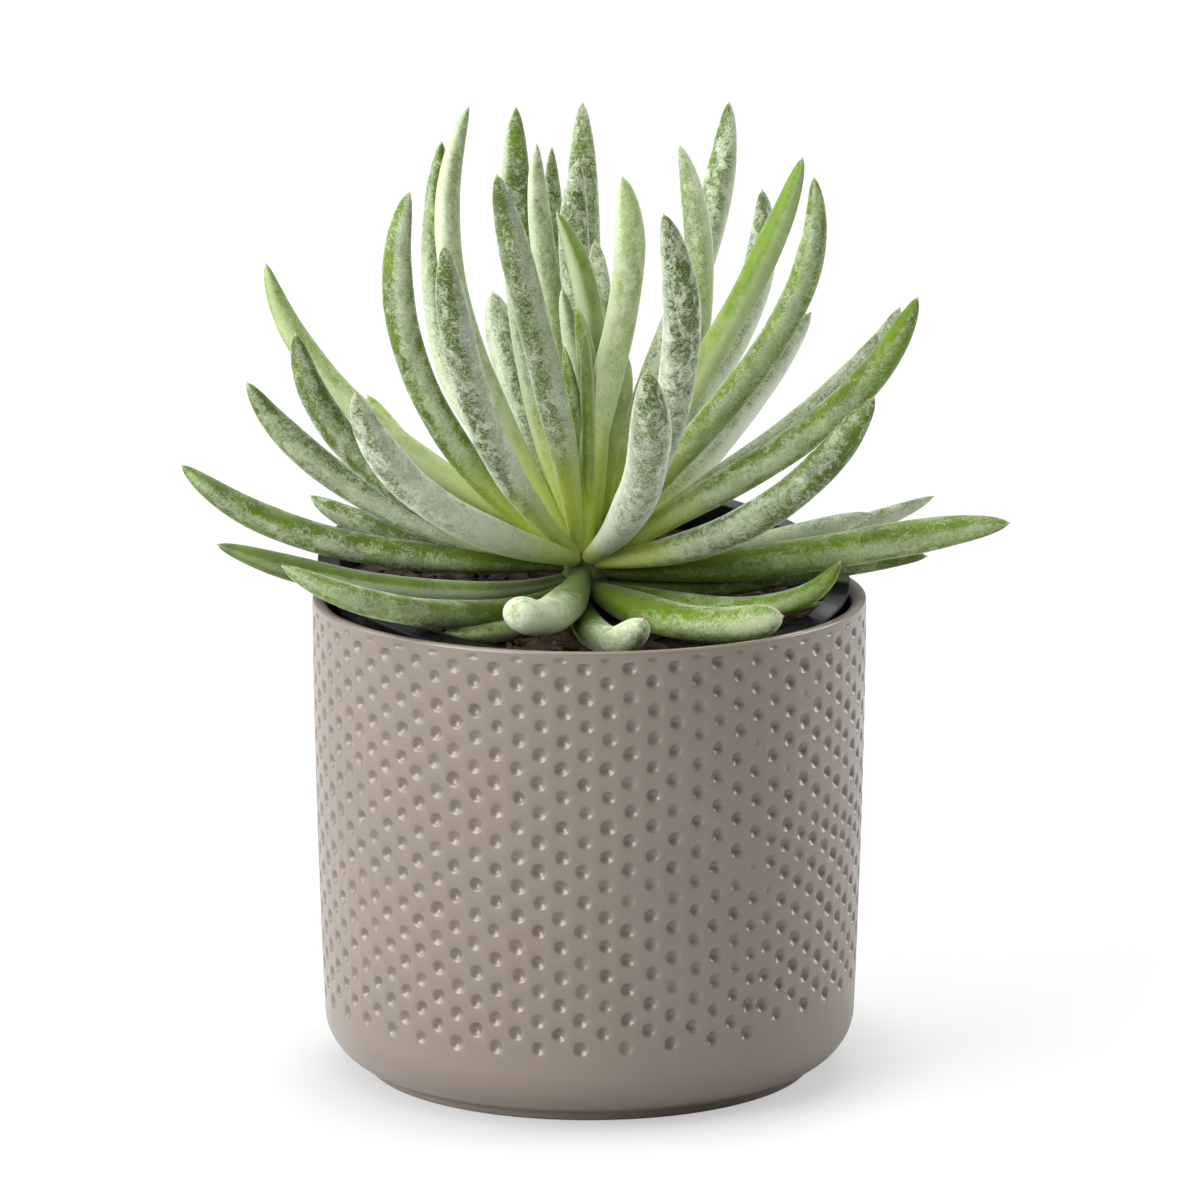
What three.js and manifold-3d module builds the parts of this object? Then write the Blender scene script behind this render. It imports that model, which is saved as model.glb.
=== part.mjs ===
// A potted senecio scaposus: a rosette of felted finger leaves in a nursery pot,
// which stands a little tilted inside a glazed ceramic pot. Millimetres, +Z up.
// The origin is the middle of the ceramic pot's flat foot, and the front is -Y.
import * as THREE from 'three';
import { mergeVertices } from 'three/addons/utils/BufferGeometryUtils.js';
import Module from 'manifold-3d';

const wasm = await Module();
wasm.setup();

// Ceramic pot
const POT_RADIUS = 62.5;
const POT_HEIGHT = 109;
const POT_WALL = 3.8;
const POT_FLOOR = 7;
const FOOT_RADIUS = 51;
const FOOT_HEIGHT = 1.8;
const POT_CORNER = 12;
const POT_FILLET = 19;
const POT_DRAFT = 2.1;
const WALL_HEIGHTS = [28, 44, 66, 88];
const ROUND_SEGMENTS = 48;

// Nursery pot, measured from its lip, and how it stands in the ceramic pot
const LIP_RADIUS = 60.2;
const LIP_THICKNESS = 1.2;
const LIP_ROUNDING = 0.4;
const LIP_CENTRE = new THREE.Vector3(-1.2, 3.1, 114.4);
const LEAN = THREE.MathUtils.degToRad(9.2);
const LEAN_SIDE = THREE.MathUtils.degToRad(17);
const NURSERY_HEIGHT = 102.6;
const NURSERY_TOP_RADIUS = 56;
const NURSERY_FOOT_RADIUS = 36;
const NURSERY_WALL = 0.9;
const DRAIN_COUNT = 6;
const DRAIN_RADIUS = 3;
const DRAIN_CIRCLE = 24;
const DRAIN_SEGMENTS = 12;

// Soil and stem, measured from the soil's level at the stem
const SOIL_BELOW_LIP = 6.5;
const STEM_RADIUS = 6.2;
const STEM_HEIGHT = 13.6;
const STEM_ROOT = 10;
const STEM_DOME = 0.8;
const STEM_LEVELS = [0, 4, 8, 11, STEM_HEIGHT];
const STEM_SEGMENTS = 24;
const SOIL_EDGE = 3;
const SOIL_DROP = 1.4;
const SOIL_SWELL = 0.5;

// Clearance between pieces that touch
const GAP = 0.3;

// Leaves
const LEAF_SIDES = 8;
const LEAF_FLATNESS = 0.86;
const LEAF_BASE = 0.42;
const LEAF_FULL_AT = 0.45;
const LEAF_TAPER_AT = 0.74;
const LEAF_STATIONS = [0, 0.07, 0.18, 0.36, 0.56, 0.74, 0.86, 0.94, 1];

const COLOURS = {
  glaze: 0x958b80,
  plastic: 0x25292b,
  soil: 0x3a2a20,
  stem: 0x8f9a6a,
  felt: 0x9db58c,
};

// Each leaf goes from its seat on the stem through a low and a high point to its tip,
// in the plant's own frame: x to the right, y to the back, z up the stem from the soil.
const INNER_LEAVES = [
  { low: [-8, -11.5, 46.5], high: [-16, -18.5, 77], tip: [-23.5, -22.5, 105.5], seat: 11.5, width: 8 },
  { low: [1.5, -5.5, 43.5], high: [6, -8, 73], tip: [4, -9, 102], seat: 12, width: 7.2, taperAt: 0.8 },
  { low: [-5, 4.5, 44.5], high: [-11.5, 11, 72.5], tip: [-15, 17.5, 100.5], seat: 12.5, width: 5.8 },
  { low: [1.5, 0, 40.5], high: [-1.5, 2, 66.5], tip: [-10, 5.5, 88.5], seat: 13, width: 6.3 },
  { low: [0, -3.5, 33], high: [-1, -4.5, 51.5], tip: [-4.5, -3.5, 69.5], seat: 13, width: 4.9 },
  { low: [0, -6, 31.5], high: [-1, -8.5, 49], tip: [-2.5, -9, 65.5], seat: 13, width: 3.2 },
  { low: [-0.5, 1, 33], high: [-3.5, 3.5, 51.5], tip: [-8, 4.5, 71], seat: 13, width: 5 },
  { low: [-0.5, -3, 28.5], high: [-3.5, -3.5, 45], tip: [-7, -3, 60], seat: 13, width: 3.4 },
  { low: [1, 6.5, 32.5], high: [1, 13.5, 57], tip: [-1, 21, 77.5], seat: 12, width: 6.2 },
  { low: [-12, 10, 41.5], high: [-18, 25, 71.5], tip: [-20, 40, 102], seat: 12, width: 7.4 },
  { low: [-0.5, 10, 40], high: [-4.5, 22, 65.5], tip: [-5.5, 32.5, 92.5], seat: 12.5, width: 7.2 },
  { low: [-3.5, 16, 39], high: [-8.5, 32, 65], tip: [-11.5, 46, 91], seat: 12, width: 5 },
  { low: [-0.5, 14.5, 42.5], high: [-3, 31, 72], tip: [-5, 46, 102], seat: 12, width: 7.3 },
  { low: [4, 4.5, 23.5], high: [6, 11.5, 38], tip: [7, 18, 52.5], seat: 11, width: 5.6 },
];

const MIDDLE_LEAVES = [
  { low: [-19, -21, 37], high: [-29, -34.5, 66], tip: [-34, -42, 95], seat: 10.5, width: 8.2 },
  { low: [10.5, -27.5, 33], high: [12.5, -43.5, 54], tip: [11, -48, 71], seat: 10, width: 9.4 },
  { low: [15, -18, 42], high: [18.5, -27.5, 73], tip: [13, -31.5, 101], seat: 10.5, width: 8.6 },
  { low: [-26.5, -7.5, 32.5], high: [-42, -10.5, 63], tip: [-42.5, -9.5, 96.5], seat: 10.5, width: 8.4 },
  { low: [23.5, -6, 41], high: [42, -6, 70], tip: [46.5, -1, 101.5], seat: 10, width: 8 },
  { low: [18, 0, 43], high: [33.5, 8.5, 71], tip: [44.5, 15, 101], seat: 11, width: 7.2 },
  { low: [-20.5, 4, 40.5], high: [-33, 11, 73], tip: [-30.5, 20.5, 107.5], seat: 11, width: 6.3 },
  { low: [-23, 15, 32], high: [-34.5, 28, 50.5], tip: [-36.5, 38.5, 93.5], seat: 10, width: 7.4 },
  { low: [18, 4, 40], high: [23, 14.5, 70], tip: [17, 23, 100], seat: 11, width: 6.8 },
  { low: [13, 12.5, 44.5], high: [23.5, 27, 74], tip: [28, 38.5, 106], seat: 11, width: 7.8 },
  { low: [18.5, 15, 34], high: [33.5, 36.5, 54.5], tip: [37, 50.5, 82], seat: 10, width: 8 },
  { low: [-10, 12, 25.5], high: [-17.5, 22.5, 42.5], tip: [-23.5, 33.5, 60], seat: 10, width: 8, taperAt: 0.8 },
  { low: [22, 17.5, 22.5], high: [36.5, 37.5, 35.5], tip: [50, 50, 53], seat: 9, width: 7.8 },
  { low: [-24, -28.5, 25], high: [-41.5, -44, 42.5], tip: [-52, -51, 63.5], seat: 9.5, width: 9.4 },
  { low: [28, -23, 23.5], high: [47, -36.5, 42.5], tip: [61, -41, 64.5], seat: 9, width: 9.2 },
  { low: [30.5, -8, 30.5], high: [55, -9, 50.5], tip: [71, -5, 76], seat: 8.5, width: 8.6 },
  { low: [31, 4, 28], high: [55, 11.5, 46.5], tip: [68.5, 17.5, 66], seat: 8, width: 8.1 },
  { low: [-30, 1.5, 25], high: [-57.5, 6.5, 44], tip: [-74.5, 13, 71], seat: 10, width: 7 },
  { low: [-30, -11, 21.5], high: [-53.5, -13.5, 38], tip: [-66.5, -12.5, 63.5], seat: 9, width: 8.6 },
  { low: [-29.5, -4, 14.5], high: [-56.5, -4, 27], tip: [-77.5, -1, 47.5], seat: 8, width: 8 },
  { low: [-19.5, 6.5, 12], high: [-37, 16.5, 21], tip: [-51, 25.5, 36.5], seat: 7, width: 7.6 },
  { low: [-1, 22, 25], high: [-3, 42, 41], tip: [-4, 60, 57], seat: 10, width: 7 },
  { low: [3, 24, 20], high: [4, 46, 31], tip: [4, 66, 44], seat: 9, width: 7.2 },
  { low: [-8, 24, 18], high: [-15, 46, 27], tip: [-22, 64, 38], seat: 8, width: 7.4 },
  { low: [9, 25, 16], high: [17, 48, 23], tip: [23, 68, 32], seat: 8, width: 7.4 },
];

const LOW_LEAVES = [
  { low: [-3, -21.5, 7], high: [-8.5, -43, 10.5], tip: [-16, -58, 18.5], seat: 6.5, width: 9.2, taperAt: 0.84 },
  { low: [2, -28.5, 2], high: [8, -46, 7], tip: [13, -52.5, 15], seat: 1.5, width: 7.8, taperAt: 0.8 },
  { low: [9.5, -21.5, 6], high: [23.5, -37.5, 8.5], tip: [44, -45, 14], seat: 2.5, width: 9.2, taperAt: 0.8 },
  { low: [35.5, -10.5, 13], high: [65.5, -13.5, 20.5], tip: [94.5, -14.5, 27], seat: 6.5, width: 9.2 },
  { low: [-32, -7, 9.5], high: [-63.5, -8, 14.5], tip: [-91.5, -3.5, 28], seat: 7, width: 7.9 },
  { low: [24, -19, 5.5], high: [43.5, -26.5, 9.5], tip: [56.5, -27.5, 21], seat: 3, width: 6.6 },
  { low: [-27.5, -17.5, 5.5], high: [-55, -26.5, 11], tip: [-82, -29.5, 19], seat: 4.5, width: 6.8 },
  { low: [-22, -31, 6], high: [-45, -52, 15], tip: [-66.5, -54.5, 24], seat: 3, width: 7.4 },
  { low: [-6, -16.5, 1], high: [-18.5, -34, 3], tip: [-30.5, -42, 5.5], seat: 1.5, width: 5.4 },
  { low: [22, -12.5, 1.5], high: [40.5, -20, 5.5], tip: [53.5, -23.5, 9.5], seat: 1.5, width: 4.4 },
  { low: [24, 4, 8.5], high: [44.5, 11.5, 11], tip: [65, 18, 16], seat: 6, width: 6.2 },
  { low: [28.5, -5.5, 5.5], high: [53, -2, 9.5], tip: [77.5, -0.5, 13], seat: 3, width: 6.4 },
  { low: [26, 5, 8.5], high: [54, 17.5, 10.5], tip: [79.5, 24.5, 18.5], seat: 5, width: 5.4 },
  { low: [-19, 2, 8], high: [-42, 7.5, 9.5], tip: [-63, 14.5, 15.5], seat: 6, width: 6.8 },
  { low: [12, 22, 9], high: [23, 43, 11.5], tip: [29, 58, 12.5], seat: 5, width: 6.8 },
  { low: [5, 28, 8], high: [10, 56, 11.5], tip: [13, 80, 13], seat: 4, width: 7.2 },
  { low: [-5, 28, 8], high: [-10, 56, 11.5], tip: [-15, 80, 13], seat: 5, width: 7.2 },
];

function colourOf(colour, roughness) {
  return new THREE.MeshStandardMaterial({ color: colour, roughness, metalness: 0 });
}

function merged(geometry) {
  const bare = geometry.clone();
  bare.deleteAttribute('normal');
  bare.deleteAttribute('uv');
  return mergeVertices(bare, 1e-4);
}

function solidOf(geometry) {
  const clean = merged(geometry);
  const vertProperties = new Float32Array(clean.attributes.position.array);
  const triVerts = new Uint32Array(clean.index.array);
  return new wasm.Manifold(new wasm.Mesh({ numProp: 3, vertProperties, triVerts }));
}

function geometryOf(solid) {
  const { vertProperties, triVerts } = solid.getMesh();
  const geometry = new THREE.BufferGeometry();
  geometry.setAttribute('position', new THREE.BufferAttribute(vertProperties, 3));
  geometry.setIndex(new THREE.BufferAttribute(triVerts, 1));
  geometry.computeVertexNormals();
  return geometry;
}

function largestPiece(solid) {
  return solid.decompose().reduce((best, piece) => (piece.volume() > best.volume() ? piece : best));
}

// A lathe turned about Z, from an outline of [radius, height] points that starts and ends on the axis
function turned(outline, segments) {
  const points = outline.map(([radius, height]) => new THREE.Vector2(radius, height));
  return new THREE.LatheGeometry(points, segments).rotateX(Math.PI / 2);
}

function arc(centre, radius, fromDegrees, toDegrees, steps) {
  return Array.from({ length: steps + 1 }, (_, step) => {
    const angle = THREE.MathUtils.degToRad(THREE.MathUtils.lerp(fromDegrees, toDegrees, step / steps));
    return [centre[0] + radius * Math.cos(angle), centre[1] + radius * Math.sin(angle)];
  });
}

// The ceramic wall widens gently from the corner to the rim
function potWallRadius(height) {
  const corner = FOOT_HEIGHT + POT_CORNER;
  const below = (POT_HEIGHT - height) / (POT_HEIGHT - corner);
  return POT_RADIUS - POT_DRAFT * Math.pow(below, 1.8);
}

function ceramicPot() {
  const lip = POT_WALL / 2;
  const corner = FOOT_HEIGHT + POT_CORNER;
  const fillet = POT_FLOOR + POT_FILLET;
  const outside = WALL_HEIGHTS.map((height) => [potWallRadius(height), height]);
  const inside = outside.slice(1).reverse().map(([radius, height]) => [radius - POT_WALL, height]);
  return turned([
    [0, 0],
    [FOOT_RADIUS, 0],
    [FOOT_RADIUS, FOOT_HEIGHT],
    ...arc([potWallRadius(corner) - POT_CORNER, corner], POT_CORNER, -72, 0, 5),
    ...outside,
    ...arc([POT_RADIUS - lip, POT_HEIGHT - lip], lip, 0, 180, 8),
    ...inside,
    ...arc([potWallRadius(fillet) - POT_WALL - POT_FILLET, fillet], POT_FILLET, 0, -90, 8),
    [0, POT_FLOOR],
  ], ROUND_SEGMENTS);
}

function nurseryPot() {
  const lipTop = SOIL_BELOW_LIP;
  const lipUnder = lipTop - LIP_THICKNESS;
  const foot = lipTop - NURSERY_HEIGHT;
  const shell = solidOf(turned([
    [0, foot],
    [NURSERY_FOOT_RADIUS, foot],
    [NURSERY_TOP_RADIUS, lipUnder],
    [LIP_RADIUS - LIP_ROUNDING, lipUnder],
    [LIP_RADIUS, lipUnder + LIP_ROUNDING],
    [LIP_RADIUS, lipTop - LIP_ROUNDING],
    [LIP_RADIUS - LIP_ROUNDING, lipTop],
    [NURSERY_TOP_RADIUS - LIP_ROUNDING, lipTop],
    [NURSERY_TOP_RADIUS - NURSERY_WALL, lipTop - LIP_ROUNDING],
    [NURSERY_FOOT_RADIUS - NURSERY_WALL, foot + NURSERY_WALL],
    [0, foot + NURSERY_WALL],
  ], ROUND_SEGMENTS));
  const drains = Array.from({ length: DRAIN_COUNT }, (_, index) => {
    const angle = (index / DRAIN_COUNT) * 2 * Math.PI;
    const hole = new THREE.CylinderGeometry(DRAIN_RADIUS, DRAIN_RADIUS, 4 * NURSERY_WALL, DRAIN_SEGMENTS);
    hole.rotateX(Math.PI / 2);
    hole.translate(DRAIN_CIRCLE * Math.cos(angle), DRAIN_CIRCLE * Math.sin(angle), foot);
    return solidOf(hole);
  });
  return geometryOf(drains.reduce((pot, hole) => pot.subtract(hole), shell));
}

// The soil fills the nursery pot with a small gap, and has a well where the stem stands
function soilBody() {
  const wallSlope = (NURSERY_TOP_RADIUS - NURSERY_FOOT_RADIUS) / NURSERY_HEIGHT;
  const bottom = SOIL_BELOW_LIP - NURSERY_HEIGHT + NURSERY_WALL + GAP;
  const bottomRadius = NURSERY_FOOT_RADIUS - NURSERY_WALL - GAP;
  const topRadius = NURSERY_TOP_RADIUS - NURSERY_WALL - 2 * GAP - SOIL_BELOW_LIP * wallSlope;
  const well = STEM_RADIUS + GAP;
  return solidOf(turned([
    [0, bottom],
    [bottomRadius, bottom],
    [topRadius, -SOIL_DROP],
    [topRadius - SOIL_EDGE, 0],
    [topRadius / 2, SOIL_SWELL],
    [well, 0],
    [well, -STEM_ROOT - GAP],
    [0, -STEM_ROOT - GAP],
  ], ROUND_SEGMENTS));
}

function stemRadius(height) {
  const fall = THREE.MathUtils.clamp(height / STEM_HEIGHT, 0, 1);
  return STEM_RADIUS * Math.sqrt(1 - 0.84 * fall * fall);
}

// The stem, grown by extra all round
function stemBody(extra) {
  return solidOf(turned([
    [0, -STEM_ROOT - extra],
    [STEM_RADIUS + extra, -STEM_ROOT - extra],
    ...STEM_LEVELS.map((level) => [stemRadius(level) + extra, level + extra]),
    [0, STEM_HEIGHT + STEM_DOME + extra],
  ], STEM_SEGMENTS));
}

// How full a leaf is along its length, which runs from 0 at the stem to 1 at the tip
function leafFullness(along, taperAt) {
  const swell = THREE.MathUtils.smoothstep(along, -0.1, LEAF_FULL_AT);
  const body = THREE.MathUtils.lerp(LEAF_BASE, 1, swell);
  const taper = Math.max(0, (along - taperAt) / (1 - taperAt));
  return body * Math.sqrt(1 - taper * taper);
}

// The cubic curve that passes through the leaf's seat, low point, high point and tip
function leafSpine(leaf) {
  const low = new THREE.Vector3(...leaf.low);
  const high = new THREE.Vector3(...leaf.high);
  const tip = new THREE.Vector3(...leaf.tip);
  const outward = new THREE.Vector3(low.x, low.y, 0).normalize();
  const seat = outward.multiplyScalar(0.7 * stemRadius(leaf.seat)).setZ(leaf.seat);
  const mix = (a, b, c, d) => new THREE.Vector3()
    .addScaledVector(seat, a / 6).addScaledVector(low, b / 6)
    .addScaledVector(high, c / 6).addScaledVector(tip, d / 6);
  return new THREE.CubicBezierCurve3(seat, mix(-5, 18, -9, 2), mix(2, -9, 18, -5), tip);
}

// A leaf is a closed turned form whose rings are laid along the spine and flattened a little.
// It is grown by extra all round.
function leafSolid(leaf, extra) {
  const spine = leafSpine(leaf);
  const taperAt = leaf.taperAt ?? LEAF_TAPER_AT;
  const across = new THREE.Vector3(-leaf.tip[1], leaf.tip[0], 0).normalize();
  const rings = LEAF_STATIONS.slice(0, -1).map((along) => [1, along]);
  const form = turned([[0, 0], ...rings, [0, 1]], LEAF_SIDES);
  const positions = form.attributes.position;
  for (let index = 0; index < positions.count; index += 1) {
    const vertex = new THREE.Vector3().fromBufferAttribute(positions, index);
    const along = THREE.MathUtils.clamp(vertex.z, 0, 1);
    const forward = spine.getTangentAt(along);
    const side = across.clone().addScaledVector(forward, -across.dot(forward)).normalize();
    const face = new THREE.Vector3().crossVectors(forward, side);
    const half = (leaf.width / 2) * leafFullness(along, taperAt);
    const place = spine.getPointAt(along)
      .addScaledVector(side, vertex.x * (half + extra))
      .addScaledVector(face, vertex.y * (half * LEAF_FLATNESS + extra))
      .addScaledVector(forward, extra * (3 * along - 1));
    positions.setXYZ(index, place.x, place.y, place.z);
  }
  return solidOf(form);
}

function meet(a, b) {
  return [0, 1, 2].every((axis) => a.min[axis] < b.max[axis] && b.min[axis] < a.max[axis]);
}

// Leaves crowd at the stem, so each one is cut by those before it, with the usual gap
function plantLeaves(stem) {
  const named = [
    ...LOW_LEAVES.map((leaf, index) => ({ leaf, name: `low_leaf_${index + 1}` })),
    ...MIDDLE_LEAVES.map((leaf, index) => ({ leaf, name: `middle_leaf_${index + 1}` })),
    ...INNER_LEAVES.map((leaf, index) => ({ leaf, name: `inner_leaf_${index + 1}` })),
  ];
  const grown = [];
  return named.map(({ leaf, name }) => {
    const whole = leafSolid(leaf, 0);
    const box = whole.boundingBox();
    const cutters = [stem, ...grown.filter((other) => meet(other.boundingBox(), box))];
    const cut = cutters.reduce((piece, other) => piece.subtract(other), whole);
    grown.push(leafSolid(leaf, GAP));
    return { name, solid: largestPiece(cut) };
  });
}

function meshOf(name, geometry, material) {
  const mesh = new THREE.Mesh(geometry, material);
  mesh.name = name;
  return mesh;
}

const pottedPlant = new THREE.Group();
pottedPlant.add(meshOf('ceramic_pot', ceramicPot(), colourOf(COLOURS.glaze, 0.35)));

const leanDirection = new THREE.Vector3(Math.sin(LEAN_SIDE), -Math.cos(LEAN_SIDE), 0);
const leanAxis = new THREE.Vector3(-leanDirection.y, leanDirection.x, 0);
const nurseryGroup = new THREE.Group();
nurseryGroup.quaternion.setFromAxisAngle(leanAxis, LEAN);
const soilDrop = new THREE.Vector3(0, 0, SOIL_BELOW_LIP).applyQuaternion(nurseryGroup.quaternion);
nurseryGroup.position.copy(LIP_CENTRE).sub(soilDrop);
pottedPlant.add(nurseryGroup);

const leaves = plantLeaves(stemBody(GAP));
const leafCutters = [...LOW_LEAVES, ...MIDDLE_LEAVES].map((leaf) => leafSolid(leaf, GAP));
const soil = leafCutters.reduce((body, leaf) => body.subtract(leaf), soilBody());
nurseryGroup.add(meshOf('nursery_pot', nurseryPot(), colourOf(COLOURS.plastic, 0.45)));
nurseryGroup.add(meshOf('soil', geometryOf(largestPiece(soil)), colourOf(COLOURS.soil, 0.95)));
nurseryGroup.add(meshOf('stem', geometryOf(stemBody(0)), colourOf(COLOURS.stem, 0.8)));
for (const { name, solid } of leaves) {
  nurseryGroup.add(meshOf(name, geometryOf(solid), colourOf(COLOURS.felt, 0.85)));
}

export default pottedPlant;
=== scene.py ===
"""A potted senecio scaposus: felted finger leaves in a nursery pot inside a dimpled ceramic pot.

Every length in the dataclasses is in millimetres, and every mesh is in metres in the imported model's frame.
"""

import logging
import math
import random
from collections.abc import Iterator, Sequence
from contextlib import contextmanager
from dataclasses import dataclass
from enum import Enum

import bpy
import numpy as np
from mathutils import Matrix, Vector, noise


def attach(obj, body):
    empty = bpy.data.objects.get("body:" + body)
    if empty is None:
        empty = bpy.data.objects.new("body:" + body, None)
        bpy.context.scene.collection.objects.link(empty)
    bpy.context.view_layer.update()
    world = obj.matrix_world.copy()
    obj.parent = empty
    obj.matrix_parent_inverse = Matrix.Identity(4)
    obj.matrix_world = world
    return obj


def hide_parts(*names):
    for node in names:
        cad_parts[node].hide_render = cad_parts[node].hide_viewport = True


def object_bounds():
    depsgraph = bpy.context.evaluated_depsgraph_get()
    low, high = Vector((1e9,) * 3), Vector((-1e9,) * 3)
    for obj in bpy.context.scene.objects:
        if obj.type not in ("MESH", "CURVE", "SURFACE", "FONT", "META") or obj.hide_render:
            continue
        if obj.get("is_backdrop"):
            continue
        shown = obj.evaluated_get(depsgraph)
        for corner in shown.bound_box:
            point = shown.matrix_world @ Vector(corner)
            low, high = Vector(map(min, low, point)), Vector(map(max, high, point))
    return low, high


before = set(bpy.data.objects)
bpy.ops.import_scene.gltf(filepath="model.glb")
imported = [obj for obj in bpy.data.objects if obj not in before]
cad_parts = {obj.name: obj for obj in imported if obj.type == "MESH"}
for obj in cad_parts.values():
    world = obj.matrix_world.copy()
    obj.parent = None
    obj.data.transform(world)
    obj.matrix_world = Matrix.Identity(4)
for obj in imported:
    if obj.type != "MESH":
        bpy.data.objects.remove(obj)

MM = 0.001
Piece = bpy.types.Object
Socket = bpy.types.NodeSocket
Spot = tuple[float, float, float]
Paint = tuple[float, float, float, float]
Outline = list[tuple[float, float]]
Table = tuple[tuple[float, ...], tuple[float, ...]]
log = logging.getLogger("potted_senecio")


class Slot(Enum):
    """The material slots of the part."""

    GLAZE = "glaze"
    PLASTIC = "plastic"
    SOIL = "soil"
    STEM = "stem"
    LEAF = "leaf"


@dataclass(frozen=True)
class Coat:
    """How a leaf's felt lies: how much skin it covers, and how far patches, webs and swirls break it."""

    cover: float
    patches: float
    web: float
    swirl: float


class Felt(Enum):
    """The kinds of felt on the leaves."""

    WOOL = Coat(0.44, 0.36, 0.42, 0.32)
    FROST = Coat(0.24, 0.30, 0.46, 0.26)
    MOTTLE = Coat(0.23, 0.45, 0.50, 0.32)
    HAZE = Coat(0.24, 0.26, 0.24, 0.20)
    THIN = Coat(0.08, 0.38, 0.42, 0.40)
    BARE = Coat(0.00, 0.12, 0.10, 0.08)


def smoothstep(values: np.ndarray, low: float, high: float) -> np.ndarray:
    """A smooth rise from 0 at low to 1 at high."""
    share = np.clip((np.asarray(values, float) - low) / (high - low), 0.0, 1.0)
    return share * share * (3.0 - 2.0 * share)


def arc(centre: tuple[float, float], radius: float, start: float, end: float, steps: int) -> Outline:
    """Points along an arc of an outline, both ends among them. Angles are in degrees, from straight out."""
    angles = np.radians(np.linspace(start, end, steps + 1))
    return [(centre[0] + radius * math.cos(a), centre[1] + radius * math.sin(a)) for a in angles]


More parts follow.
